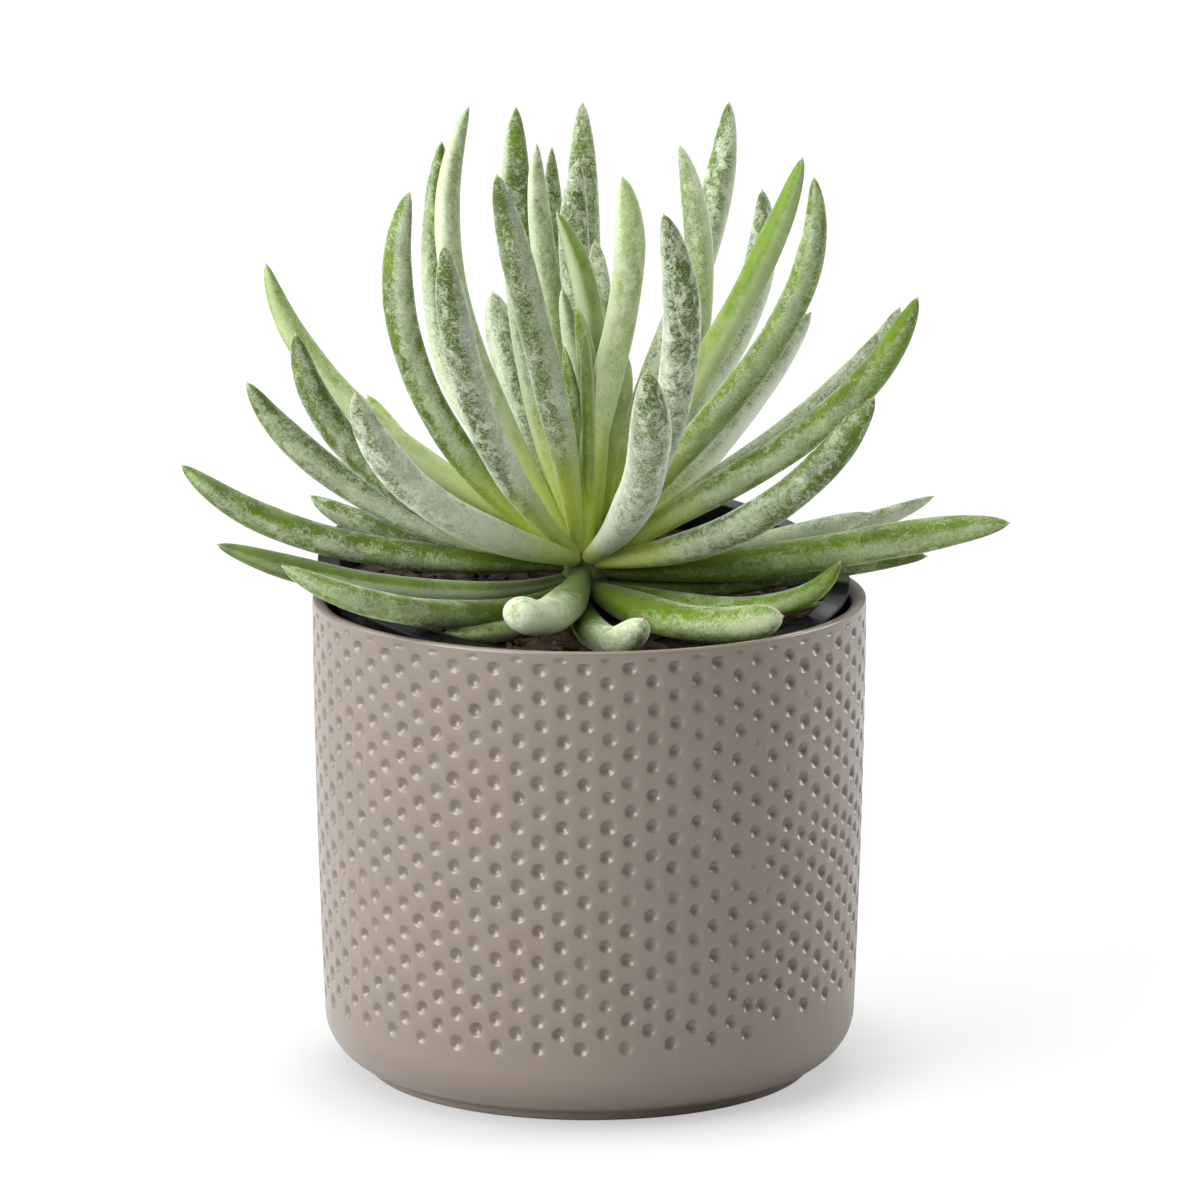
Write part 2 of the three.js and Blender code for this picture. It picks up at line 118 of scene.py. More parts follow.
class Bench:
    """The modelling moves that every piece here is made with."""

    @staticmethod
    def clear() -> None:
        """Deselects everything, so that the next operator acts on the new piece alone."""
        bpy.ops.object.select_all(action="DESELECT")

    @staticmethod
    def take(*pieces: Piece) -> None:
        """Selects pieces and makes the first the active object.

        Args:
            *pieces: The pieces.
        """
        Bench.clear()
        for piece in pieces:
            piece.select_set(True)
        bpy.context.view_layer.objects.active = pieces[0]

    @staticmethod
    def named(name: str) -> Piece:
        """Names the object that an operator has just made.

        Args:
            name: The piece's name.

        Returns:
            The object.
        """
        piece = bpy.context.object
        piece.name = piece.data.name = name
        return piece

    @staticmethod
    def points(piece: Piece) -> np.ndarray:
        """The piece's vertices.

        Args:
            piece: The piece.

        Returns:
            A row of three numbers for each vertex.
        """
        flat = np.empty(len(piece.data.vertices) * 3)
        piece.data.vertices.foreach_get("co", flat)
        return flat.reshape(-1, 3)

    @staticmethod
    def move(piece: Piece, points: np.ndarray) -> None:
        """Puts the piece's vertices at new places."""
        piece.data.vertices.foreach_set("co", np.ascontiguousarray(points, np.float64).ravel())
        piece.data.update()

    @staticmethod
    def note(piece: Piece, name: str, values: np.ndarray) -> None:
        """Writes an attribute, with one number or three for each vertex."""
        kind, part = ("FLOAT", "value") if values.ndim == 1 else ("FLOAT_VECTOR", "vector")
        piece.data.attributes.new(name, kind, "POINT").data.foreach_set(part, values.astype(np.float32).ravel())

    @staticmethod
    @contextmanager
    def editing(piece: Piece, kind: str = "VERT", chosen: np.ndarray | None = None) -> Iterator[None]:
        """Opens a piece in edit mode for as long as the block lasts.

        Args:
            piece: The piece, in object mode.
            kind: The select mode, VERT or FACE.
            chosen: One truth value for each vertex, or None to select the whole piece.

        Yields:
            Nothing.
        """
        Bench.take(piece)
        bpy.ops.object.mode_set(mode="EDIT")
        bpy.ops.mesh.select_mode(type=kind)
        bpy.ops.mesh.select_all(action="SELECT" if chosen is None else "DESELECT")
        if chosen is not None:
            bpy.ops.object.mode_set(mode="OBJECT")
            piece.data.vertices.foreach_set("select", chosen)
            bpy.ops.object.mode_set(mode="EDIT")
        yield
        bpy.ops.object.mode_set(mode="OBJECT")

    @staticmethod
    def mend(piece: Piece, reach: float = 1e-6) -> None:
        """Merges doubles and turns every face outwards.

        Args:
            piece: A closed shell, in object mode.
            reach: The distance in metres within which vertices are merged.
        """
        with Bench.editing(piece):
            bpy.ops.mesh.remove_doubles(threshold=reach)
            bpy.ops.mesh.normals_make_consistent(inside=False)

    @staticmethod
    def smooth(piece: Piece, degrees: float) -> None:
        """Shades a piece smooth, apart from edges sharper than an angle."""
        Bench.take(piece)
        bpy.ops.object.shade_smooth_by_angle(angle=math.radians(degrees))

    @staticmethod
    def fit(piece: Piece, kind: str, **settings: object) -> None:
        """Gives a piece a modifier and applies it.

        Args:
            piece: The piece, in object mode.
            kind: The modifier's type name.
            **settings: Its properties.
        """
        modifier = piece.modifiers.new(kind.lower(), kind)
        for name, value in settings.items():
            setattr(modifier, name, value)
        Bench.take(piece)
        bpy.ops.object.modifier_apply(modifier=modifier.name)

    @staticmethod
    def array(piece: Piece, count: int, step: Spot) -> None:
        """Repeats a piece along a line, as one mesh, with a step in metres from one to the next."""
        settings = {"use_relative_offset": False, "use_constant_offset": True, "constant_offset_displace": step}
        Bench.fit(piece, "ARRAY", count=count, **settings)

    @staticmethod
    def joined(pieces: Sequence[Piece], name: str) -> Piece:
        """Joins pieces into one.

        Args:
            pieces: The pieces, the first of which takes in the others.
            name: The name of the result.

        Returns:
            The joined piece.
        """
        Bench.take(*pieces)
        bpy.ops.object.join()
        return Bench.named(name)

    @staticmethod
    def copied(piece: Piece, name: str) -> Piece:
        """Copies a piece together with its mesh.

        Args:
            piece: The piece.
            name: The copy's name.

        Returns:
            The copy.
        """
        twin = piece.copy()
        twin.data = piece.data.copy()
        twin.name = twin.data.name = name
        bpy.context.scene.collection.objects.link(twin)
        return twin

    @staticmethod
    def spun(name: str, outline: Outline, steps: int) -> Piece:
        """Draws an outline point by point and spins it round the upright axis.

        Args:
            name: The piece's name.
            outline: Points of radius and height in millimetres.
            steps: How many facets go round.

        Returns:
            The turned piece, merged along its seam and poles.
        """
        Bench.clear()
        bpy.ops.mesh.primitive_plane_add(size=MM, location=(outline[0][0] * MM, 0.0, outline[0][1] * MM))
        piece = Bench.named(name)
        bpy.ops.object.transform_apply(location=True, rotation=False, scale=False)
        with Bench.editing(piece):
            bpy.ops.mesh.merge(type="CENTER")
            for before, after in zip(outline, outline[1:]):
                step = ((after[0] - before[0]) * MM, 0.0, (after[1] - before[1]) * MM)
                bpy.ops.mesh.extrude_region_move(TRANSFORM_OT_translate={"value": step})
            bpy.ops.mesh.select_all(action="SELECT")
            bpy.ops.mesh.spin(steps=steps, angle=2 * math.pi, center=(0, 0, 0), axis=(0, 0, 1))
        Bench.mend(piece)
        return piece


class Sketch:
    """Adds nodes to a node tree and links them."""

    def __init__(self, tree: bpy.types.NodeTree) -> None:
        """Starts on an empty tree."""
        self.tree = tree
        tree.nodes.clear()

    def node(self, kind: str, inputs: dict | None = None, **settings: object) -> bpy.types.Node:
        """Adds one node.

        Args:
            kind: The node's type name.
            inputs: For each input by name or number, a value, or the output that feeds it.
            **settings: The node's own properties.

        Returns:
            The node.
        """
        made = self.tree.nodes.new(kind)
        for name, value in settings.items():
            setattr(made, name, value)
        for name, value in (inputs or {}).items():
            if isinstance(value, Socket):
                self.tree.links.new(value, made.inputs[name])
            else:
                made.inputs[name].default_value = value
        return made

    def sum(self, kind: str, *values: object) -> Socket:
        """The result of one step of arithmetic on numbers or outputs."""
        return self.node("ShaderNodeMath", dict(enumerate(values)), operation=kind).outputs[0]

    def times(self, *values: object) -> Socket:
        """The product of two numbers or outputs."""
        return self.sum("MULTIPLY", *values)

    def plus(self, value: object, share: object, more: object) -> Socket:
        """A value times a share, added to more."""
        return self.sum("MULTIPLY_ADD", value, share, more)

    def vector_sum(self, kind: str, *values: object) -> Socket:
        """The result of one step of arithmetic on vectors."""
        return self.node("ShaderNodeVectorMath", dict(enumerate(values)), operation=kind).outputs[0]

    def ramp(self, value: Socket, low: float, high: float, start: float = 0.0, end: float = 1.0) -> Socket:
        """A smooth change of a value, from start where it is low to end where it is high."""
        inputs = {"Value": value, "From Min": low, "From Max": high, "To Min": start, "To Max": end}
        return self.node("ShaderNodeMapRange", inputs, interpolation_type="SMOOTHSTEP").outputs[0]

    def blend(self, share: object, first: object, second: object) -> Socket:
        """Two colours or outputs mixed, with a share of the second from 0 to 1."""
        return self.node("ShaderNodeMix", {0: share, 6: first, 7: second}, data_type="RGBA").outputs[2]

    def grain(self, place: Socket, scale: float, detail: float = 2.0, rough: float = 0.5, twist: float = 0.0) -> Socket:
        """Noise from 0 to 1.

        Args:
            place: The vector that it is read at.
            scale: How many swells there are to a unit.
            detail: How many finer layers there are.
            rough: How strong they are.
            twist: How far it is distorted.

        Returns:
            The noise's value.
        """
        inputs = {"Vector": place, "Scale": scale, "Detail": detail, "Roughness": rough, "Distortion": twist}
        return self.node("ShaderNodeTexNoise", inputs).outputs["Fac"]

    def bump(self, strength: float, distance: float, height: Socket) -> Socket:
        """The normal of a surface that a height raises by up to a distance in metres."""
        return self.node("ShaderNodeBump", {"Strength": strength, "Distance": distance, "Height": height}).outputs[0]

    def own(self, name: str, output: str = "Vector") -> Socket:
        """One of the piece's own attributes."""
        return self.node("ShaderNodeAttribute", attribute_name=name).outputs[output]

    def split(self, name: str) -> Sequence[Socket]:
        """The three numbers of one of the piece's own attributes."""
        return self.node("ShaderNodeSeparateXYZ", {0: self.own(name)}).outputs

    def place(self) -> Socket:
        """The place on the object."""
        return self.node("ShaderNodeTexCoord").outputs["Object"]


def paint(red: float, green: float, blue: float) -> Paint:
    """A colour as it looks on a screen, from 0 to 255, turned into the light it stands for."""
    light = [s / 12.92 if s <= 0.04045 else ((s + 0.055) / 1.055) ** 2.4 for s in (red / 255, green / 255, blue / 255)]
    return (*light, 1.0)


class Effect:
    """A shader node group with named inputs and outputs."""

    def __init__(self, name: str, numbers: dict[str, float], outputs: Sequence[str]) -> None:
        """Makes a group that reads a vector named Place and some numbers, and puts out numbers.

        Args:
            name: The group's name.
            numbers: The inputs, each with its usual value.
            outputs: The names of the outputs.
        """
        self.tree = bpy.data.node_groups.new(name, "ShaderNodeTree")
        self.sketch = Sketch(self.tree)
        self.tree.interface.new_socket("Place", in_out="INPUT", socket_type="NodeSocketVector")
        for number, usual in numbers.items():
            made = self.tree.interface.new_socket(number, in_out="INPUT", socket_type="NodeSocketFloat")
            made.default_value = usual
        for output in outputs:
            self.tree.interface.new_socket(output, in_out="OUTPUT", socket_type="NodeSocketFloat")
        self.inside = self.sketch.node("NodeGroupInput").outputs

    def give(self, **values: Socket) -> None:
        """Links what the group puts out."""
        self.sketch.node("NodeGroupOutput", dict(values))

    def used(self, sketch: Sketch, **inputs: object) -> Sequence[Socket]:
        """Places the group in a material, and hands back its outputs in their order."""
        return sketch.node("ShaderNodeGroup", inputs, node_tree=self.tree).outputs


class Effects:
    """The effects that more than one material uses, each built once."""

    def __init__(self) -> None:
        """Builds the groups."""
        self.mottle = self._mottle()
        self.felt = self._felt()

    @staticmethod
    def _mottle() -> Effect:
        """Soft clouds with fine grain in them, for colour and height.

        Returns:
            The group, which puts out Cloud and Grain.
        """
        made = Effect("mottle", {"Coarse": 80.0, "Fine": 900.0}, ("Cloud", "Grain"))
        sketch, inside = made.sketch, made.inside
        cloud = sketch.grain(inside["Place"], inside["Coarse"], 3.0)
        made.give(Cloud=cloud, Grain=sketch.grain(inside["Place"], inside["Fine"]))
        return made

    @staticmethod
    def _stirred(sketch: Sketch, place: Socket, scale: float, reach: float) -> Socket:
        """A place, pushed about by noise.

        Args:
            sketch: The group's sketch.
            place: The place.
            scale: How many swells there are to a unit.
            reach: How far they push it.

        Returns:
            The pushed place.
        """
        push = sketch.node("ShaderNodeTexNoise", {"Vector": place, "Scale": scale, "Detail": 1.0}).outputs["Color"]
        push = sketch.vector_sum("SUBTRACT", push, (0.5, 0.5, 0.5))
        return sketch.vector_sum("MULTIPLY_ADD", push, (reach * 2,) * 3, place)

    @staticmethod
    def _ridge(sketch: Sketch, place: Socket, scale: float) -> Socket:
        """How far noise is from its middle value, which is nought along thin curly lines."""
        return sketch.sum("ABSOLUTE", sketch.sum("SUBTRACT", sketch.grain(place, scale, 1.0, 0.5), 0.5))

    def _felt(self) -> Effect:
        """Felt of fine hairs. Place is in millimetres along the straight leaf.

        Cover is how much is covered, and Patches, Web and Swirl are how far coarse gaps, a net of crossed hairs and
        combed strokes break it.

        Returns:
            The group, which puts out Mask, where the felt covers the skin, and Height.
        """
        names = ("Cover", "Patches", "Web", "Swirl")
        made = Effect("felt", dict.fromkeys(names, 0.4), ("Mask", "Height"))
        sketch, inside = made.sketch, made.inside
        bent = self._stirred(sketch, inside["Place"], 0.40, 1.6)
        curled = self._stirred(sketch, bent, 1.5, 0.7)
        long = sketch.vector_sum("MULTIPLY", bent, (1.0, 1.0, 0.62))
        patches = sketch.ramp(sketch.grain(long, 0.34, 3.0, 0.6), 0.40, 0.62)
        coarse, fine = (sketch.ramp(self._ridge(sketch, curled, scale), 0.0, 0.11, 1.0, 0.0) for scale in (0.85, 1.9))
        web = sketch.sum("MAXIMUM", coarse, sketch.times(fine, 0.75))
        spots = sketch.node("ShaderNodeTexVoronoi", {"Vector": curled, "Scale": 1.5}, feature="F1").outputs["Distance"]
        pits = sketch.times(sketch.ramp(spots, 0.12, 0.36, 1.0, 0.0), sketch.ramp(patches, 0.75, 0.25))
        web = sketch.sum("SUBTRACT", web, pits)
        combed = sketch.vector_sum("MULTIPLY", bent, (0.8, 0.8, 2.4))
        swirl = sketch.ramp(sketch.grain(combed, 1.2, 3.0, 0.6, 0.8), 0.34, 0.66)
        fuzz = sketch.times(sketch.grain(curled, 2.6, 1.0), 1.3)
        total = inside["Cover"]
        patterns = (("Patches", patches, 0.5), ("Web", web, 0.25), ("Swirl", swirl, 0.5), ("Web", fuzz, 0.65))
        for strength, pattern, usual in patterns:
            total = sketch.plus(sketch.sum("SUBTRACT", pattern, usual), inside[strength], total)
        mask = sketch.sum("MINIMUM", sketch.sum("MAXIMUM", total, 0.0), 0.96)
        made.give(Mask=mask, Height=sketch.plus(web, 0.5, mask))
        return made


@dataclass(frozen=True)
class Finish:
    """A surface that is built from the shared effects: its name and its plain settings."""

    name: str
    sheen: float = 0.0
    sheen_roughness: float = 0.5
    coat_roughness: float = 0.1
    specular: float = 0.5

    def look(self, sketch: Sketch, effects: Effects) -> dict[str, Socket]:
        """What changes over the surface.

        Args:
            sketch: The material's sketch.
            effects: The shared effects.

        Returns:
            The outputs that feed the shader, by the names of its inputs.
        """
        raise NotImplementedError

    def made(self, effects: Effects) -> bpy.types.Material:
        """Builds the material.

        Args:
            effects: The shared effects.

        Returns:
            The material.
        """
        material = bpy.data.materials.new(self.name)
        material.use_nodes = True
        sketch = Sketch(material.node_tree)
        shader = sketch.node("ShaderNodeBsdfPrincipled", self.look(sketch, effects))
        shader.inputs["Sheen Weight"].default_value = self.sheen
        shader.inputs["Sheen Roughness"].default_value = self.sheen_roughness
        shader.inputs["Coat Roughness"].default_value = self.coat_roughness
        shader.inputs["Specular IOR Level"].default_value = self.specular
        sketch.node("ShaderNodeOutputMaterial", {"Surface": shader.outputs[0]})
        return material


@dataclass(frozen=True)
class GlazeFinish(Finish):
    """Taupe satin glaze, with painted shade darkening its dimples, over bare clay on the foot.

    The attribute glaze says how deep in a dimple the surface lies, which sets the painted shade there, and how bare it
    is.
    """

    body: Paint = paint(128, 117, 105)
    warm: Paint = paint(131, 117, 106)
    cool: Paint = paint(124, 116, 103)
    # deep is the colour of the painted shade in the dimples and of the dark specks.
    deep: Paint = paint(100, 89, 79)
    clay: Paint = paint(186, 170, 150)
    gloss: float = 0.5
    # How far the painted shade darkens the glaze at the bottom of a dimple.
    dimple_shade: float = 0.45

    def look(self, sketch: Sketch, effects: Effects) -> dict[str, Socket]:
        """What changes over the glaze.

        Args:
            sketch: The material's sketch.
            effects: The shared effects.

        Returns:
            The outputs that feed the shader, by the names of its inputs.
        """
        place = sketch.place()
        cloud, fine = effects.mottle.used(sketch, Place=place, Coarse=55.0, Fine=650.0)
        dimple, foot, _ = sketch.split("glaze")
        tint = sketch.blend(sketch.ramp(cloud, 0.35, 0.65), self.warm, self.cool)
        # Painted shade: the deeper the surface lies in a dimple, the nearer its colour is to deep.
        colour = sketch.blend(sketch.times(dimple, self.dimple_shade), sketch.blend(0.5, self.body, tint), self.deep)
        speck = sketch.ramp(sketch.grain(place, 420.0, 1.0), 0.78, 0.84, 0.0, 0.5)
        colour = sketch.blend(speck, colour, self.deep)
        bare = sketch.ramp(sketch.plus(cloud, 0.25, foot), 0.55, 0.65)
        clay = sketch.blend(sketch.ramp(fine, 0.3, 0.7), self.clay, self.body)
        return {
            "Base Color": sketch.blend(bare, colour, clay),
            "Roughness": sketch.plus(bare, 0.45, sketch.ramp(cloud, 0.3, 0.7, 0.34, 0.42)),
            "Normal": sketch.bump(0.12, 0.0002, sketch.plus(fine, 0.35, cloud)),
            "Coat Weight": sketch.times(sketch.sum("SUBTRACT", 1.0, bare), self.gloss),
        }


@dataclass(frozen=True)
class PlasticFinish(Finish):
    """Thin black plastic with dust and fine scuffs."""

    body: Paint = paint(17, 18, 18)
    dust: Paint = paint(58, 59, 57)

    def look(self, sketch: Sketch, effects: Effects) -> dict[str, Socket]:
        """What changes over the plastic.

        Args:
            sketch: The material's sketch.
            effects: The shared effects.

        Returns:
            The outputs that feed the shader, by the names of its inputs.
        """
        cloud, fine = effects.mottle.used(sketch, Place=sketch.place(), Coarse=120.0, Fine=1400.0)
        dusty = sketch.times(sketch.ramp(cloud, 0.45, 0.75), sketch.ramp(fine, 0.35, 0.65, 0.3, 0.8))
        return {
            "Base Color": sketch.blend(dusty, self.body, self.dust),
            "Roughness": sketch.ramp(cloud, 0.3, 0.7, 0.42, 0.60),
            "Normal": sketch.bump(0.15, 0.0002, fine),
        }


@dataclass(frozen=True)
class EarthFinish(Finish):
    """Damp potting soil or bark, dark with paler fibres."""

    dark: Paint = paint(30, 22, 16)
    light: Paint = paint(84, 60, 42)
    fibre: Paint = paint(122, 88, 60)
    scale: float = 1.0

    def look(self, sketch: Sketch, effects: Effects) -> dict[str, Socket]:
        """What changes over the soil.

        Args:
            sketch: The material's sketch.
            effects: The shared effects.

        Returns:
            The outputs that feed the shader, by the names of its inputs.
        """
        place = sketch.place()
        cloud, fine = effects.mottle.used(sketch, Place=place, Coarse=260.0 * self.scale, Fine=2200.0)
        drawn_out = sketch.vector_sum("MULTIPLY", place, (1.0, 3.5, 3.5))
        strand = sketch.ramp(sketch.grain(drawn_out, 380.0 * self.scale, 3.0, 0.7), 0.58, 0.76, 0.0, 0.7)
        colour = sketch.blend(sketch.ramp(cloud, 0.38, 0.72), self.dark, self.light)
        return {
            "Base Color": sketch.blend(strand, colour, self.fibre),
            "Roughness": sketch.ramp(cloud, 0.3, 0.7, 0.95, 0.72),
            "Normal": sketch.bump(0.8, 0.0006, sketch.plus(fine, 0.6, cloud)),
        }


@dataclass(frozen=True)
class LeafFinish(Finish):
    """Green skin under white felt, with a tan point at the tip and a painted sheen that whitens its outline.

    The piece's attributes say how the felt lies: leaf_place is the place along the straight leaf in millimetres,
    leaf_coat is cover, patches and web, leaf_skin is yellowness, swirl and tip, and leaf_base is how near the stem
    it is, above nought where the base is brightened, partly its own paler colour and partly painted light shining
    through the leaf, and below nought where the base is darkened by painted shade under the leaves above.
    """

    deep: Paint = paint(76, 96, 24)
    fresh: Paint = paint(112, 145, 18)
    sunny: Paint = paint(192, 212, 84)
    felt: Paint = paint(226, 234, 216)
    # glow is the bright yellow-green of lit bases: partly the bases' own paler colour, partly painted light shining
    # through the leaf.
    glow: Paint = paint(216, 230, 92)
    # shade is painted shade at the bases of the low leaves, under the leaves above.
    shade: Paint = paint(58, 70, 10)
    tan: Paint = paint(206, 190, 144)

    def look(self, sketch: Sketch, effects: Effects) -> dict[str, Socket]:
        """What changes over the leaf.

        Args:
            sketch: The material's sketch.
            effects: The shared effects.

        Returns:
            The outputs that feed the shader, by the names of its inputs.
        """
        place = sketch.own("leaf_place")
        cover, patches, web = sketch.split("leaf_coat")
        yellow, swirl, tip = sketch.split("leaf_skin")
        base = sketch.own("leaf_base", "Fac")
        # Painted sheen: where the surface turns away from the view, the felt's cover is raised, so the leaf's outline
        # whitens.
        facing = sketch.node("ShaderNodeLayerWeight", {"Blend": 0.5}).outputs["Facing"]
        edge = sketch.sum("ADD", sketch.ramp(facing, 0.45, 0.92, 0.0, 0.32), sketch.ramp(facing, 0.84, 0.97, 0.0, 0.5))
        cover = sketch.sum("ADD", cover, edge)
        mask, height = effects.felt.used(sketch, Place=place, Cover=cover, Patches=patches, Web=web, Swirl=swirl)
        tone = sketch.plus(sketch.sum("SUBTRACT", sketch.grain(place, 0.16, 3.0), 0.5), 0.7, yellow)
        under = sketch.blend(sketch.ramp(tone, 0.0, 0.55), self.deep, self.fresh)
        under = sketch.blend(sketch.ramp(tone, 0.5, 1.0), under, self.sunny)
        # Where leaf_base is above nought the skin goes towards glow, partly its paler colour and partly painted light;
        # below nought it goes towards shade, which is painted shade.
        under = sketch.blend(base, under, self.glow)
        under = sketch.blend(sketch.times(base, -0.85), under, self.shade)
        over = sketch.blend(sketch.times(yellow, 0.62), self.felt, self.sunny)
        # Near brightened bases the felt takes on glow too: painted light shining through it.
        over = sketch.blend(sketch.times(base, 0.75), over, self.glow)
        colour = sketch.blend(mask, under, over)
        # Painted shade darkens the felt as well at the bases of the low leaves.
        colour = sketch.blend(sketch.times(base, -0.45), colour, self.shade)
        return {
            "Base Color": sketch.blend(tip, colour, self.tan),
            "Roughness": sketch.ramp(mask, 0.0, 0.8, 0.48, 0.86),
            "Normal": sketch.bump(0.45, 0.0003, height),
        }


def dress(piece: Piece, material: bpy.types.Material, slot: Slot, nodes: Sequence[str] = ()) -> None:
    """Gives a finished piece its material and its body, and hides the nodes that it stands for.

    Args:
        piece: The piece, at the origin with its place in its mesh.
        material: Its finish.
        slot: The part's material slot; not used.
        nodes: The nodes that it replaces.
    """
    piece.data.materials.clear()
    piece.data.materials.append(material)
    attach(piece, "root")
    if nodes:
        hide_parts(*nodes)
    piece.data.calc_loop_triangles()
    log.info("%s: %d triangles", piece.name, len(piece.data.loop_triangles))


@dataclass(frozen=True)
class Spread:
    """Random numbers round a middle value, held between two limits."""

    middle: float
    spread: float
    low: float
    high: float

    def drawn(self, rng: np.random.Generator, shape: Sequence[int]) -> np.ndarray:
        """Draws an array of them."""
        return rng.normal(self.middle, self.spread, shape).clip(self.low, self.high)


@dataclass
class CeramicPot:
    """The glazed pot, with staggered dimples pressed into its wall.

    Hand-pressed columns and rows stray from a regular grid. Each table here pairs angles in degrees from the front,
    or heights, with how far they do: lean turns a column, in degrees, and the rest lift a dimple.
    """

    finish: GlazeFinish
    radius: float = 62.5
    height: float = 109.0
    wall: float = 3.8
    floor: float = 7.0
    foot_radius: float = 51.0
    foot_height: float = 1.8
    corner: float = 12.0
    fillet: float = 19.0
    draft: float = 2.1
    lip_edge: float = 0.8
    columns: int = 82
    rows: int = 14
    row_pitch: float = 6.54
    top_row: float = 105.1
    sheet_top: float = 110.75
    squeeze_from: float = 106.0
    support: float = 0.4
    lip_merge: float = 0.9
    first_column: float = -1.75
    sides: int = 12
    dimple_profile: Sequence[tuple[float, float]] = (
        (1.86, 0.0),
        (1.72, 0.05),
        (1.32, 0.37),
        (0.90, 0.66),
        (0.43, 0.84),
    )
    dimple_depth: float = 0.90
    seed: int = 11
    stray: Spread = Spread(0.0, 0.13, -0.26, 0.26)
    size: Spread = Spread(1.0, 0.05, 0.88, 1.1)
    depth: Spread = Spread(1.0, 0.12, 0.65, 1.25)
    drift: Spread = Spread(0.0, 0.26, -0.45, 0.45)
    faint: Sequence[tuple[int, int]] = ((8, 3), (10, 4), (8, 7), (11, 2), (9, 9), (-19, 5), (30, 6), (-40, 8))
    faint_size: float = 0.62
    faint_depth: float = 0.30
    top_size: float = 0.9
    top_depth: float = 0.42
    lean_above: Table = (
        (-90, -64, -49, -38, -28, -19, -10, -2, 6.3, 11.4, 15.8, 20.2, 24.6, 29, 33.4, 37.8, 46.5, 59.7, 90, 170),
        (0, -0.1, -0.2, -0.4, -0.1, 0.3, 0.7, 0.95, 1.3, 1.7, 1.8, 2.4, 2.6, 2.8, 2.8, 2.8, 2.8, 2.8, 2.5, 0),
    )
    lean_below: Table = (
        (-64, -37, 0, 11.4, 20.2, 29, 37.8, 46.5, 55.3, 64.1, 72.9, 90),
        (-0.4, -0.75, 0.3, 1.3, 2.1, 2.4, 1.6, 1.0, 0.9, 0.3, -0.3, 0),
    )
    lean_levels: tuple[float, float] = (36.0, 66.0)
    sag: Table = (
        (26, 34, 42, 50, 58, 66, 74.4, 82.4, 90.5, 98.6, 105),
        (-0.87, -0.76, -0.55, -0.23, 0.25, 0.44, 0.62, 0.60, 0.37, 0.07, 0),
    )
    tilt: Table = (
        (-180, -90, -49, -28, -19, -10, -2, 6.3, 24, 33, 43, 56, 78, 150),
        (0, -0.5, -0.52, -0.46, -0.3, -0.12, 0.07, 0.2, 0.28, 0.2, -0.4, -0.9, -1.0, 0),
    )
    slip: Table = ((20.2, 24.6, 29, 33.4, 37.8, 50, 100, 175), (0, -0.9, -1.8, -2.3, 2.2, 2.7, 2.7, 0))
    slip_levels: tuple[float, float] = (55.5, 68.5)
    slip_fade: tuple[float, float] = (28.0, 44.0)
    slip_rest: float = 0.25
    gain: Table = ((6, 24, 33, 43, 56, 78, 150), (0, 0.6, 1.0, 1.8, 2.5, 2.7, 0))
    gain_levels: tuple[float, float] = (40.0, 63.0)
    held_below: float = 1.4
    held_above: float = 3.0

    @property
    def pitch(self) -> float:
        """The width of a column on the wall at the rim."""
        return 2 * math.pi * self.radius / self.columns

    @property
    def border(self) -> float:
        """The height of the dimpled sheet's lower border, before it sags."""
        return self.top_row - (self.rows - 0.5) * self.row_pitch

    @property
    def upper_border(self) -> float:
        """The height of its upper border, where the lip begins."""
        return self.height - self.lip_edge

    def wall_radius(self, height: np.ndarray | float) -> np.ndarray | float:
        """The outer wall's radius at a height: it widens gently from the corner to the rim.

        Args:
            height: One height or an array of them.

        Returns:
            The radius at each.
        """
        start = self.foot_height + self.corner
        below = np.clip((self.height - height) / (self.height - start), 0.0, 1.0)
        return self.radius - self.draft * below**1.8

    def _dimple(self) -> Piece:
        """One dimple in its cell: concentric insets pressed in, and a rim drawn out to the cell's border.

        Returns:
            The dimple, lying flat.
        """
        Bench.clear()
        rim = self.dimple_profile[0][0]
        bpy.ops.mesh.primitive_circle_add(vertices=self.sides, radius=rim * MM, fill_type="NGON")
        piece = Bench.named("dimple")
        lean = math.cos(math.pi / self.sides)
        with Bench.editing(piece, "FACE"):
            for (outer, high), (inner, low) in zip(self.dimple_profile, self.dimple_profile[1:]):
                step = {"thickness": (outer - inner) * lean * MM, "depth": (high - low) * MM}
                bpy.ops.mesh.inset(use_even_offset=True, **step)
            bpy.ops.mesh.poke()
        points = Bench.points(piece)
        reach = np.hypot(points[:, 0], points[:, 1]) / MM
        points[reach < 1e-3, 2] = -self.dimple_depth * MM
        Bench.move(piece, points)
        with Bench.editing(piece, chosen=reach > rim - 0.01):
            bpy.ops.mesh.extrude_region_move(TRANSFORM_OT_translate={"value": (0, 0, 0)})
            bpy.ops.transform.resize(value=(1.2, 1.2, 1.0), center_override=(0, 0, 0))
        self._squared(piece, rim * 1.1, self.row_pitch / 2)
        return piece

    def _plain(self) -> Piece:
        """Half a cell without a dimple, which fills the end of every other column.

        Returns:
            The cell, lying flat.
        """
        Bench.clear()
        bpy.ops.mesh.primitive_circle_add(vertices=8, radius=2.0 * MM, fill_type="TRIFAN")
        piece = Bench.named("plain")
        self._squared(piece, 1.0, self.row_pitch / 4)
        return piece

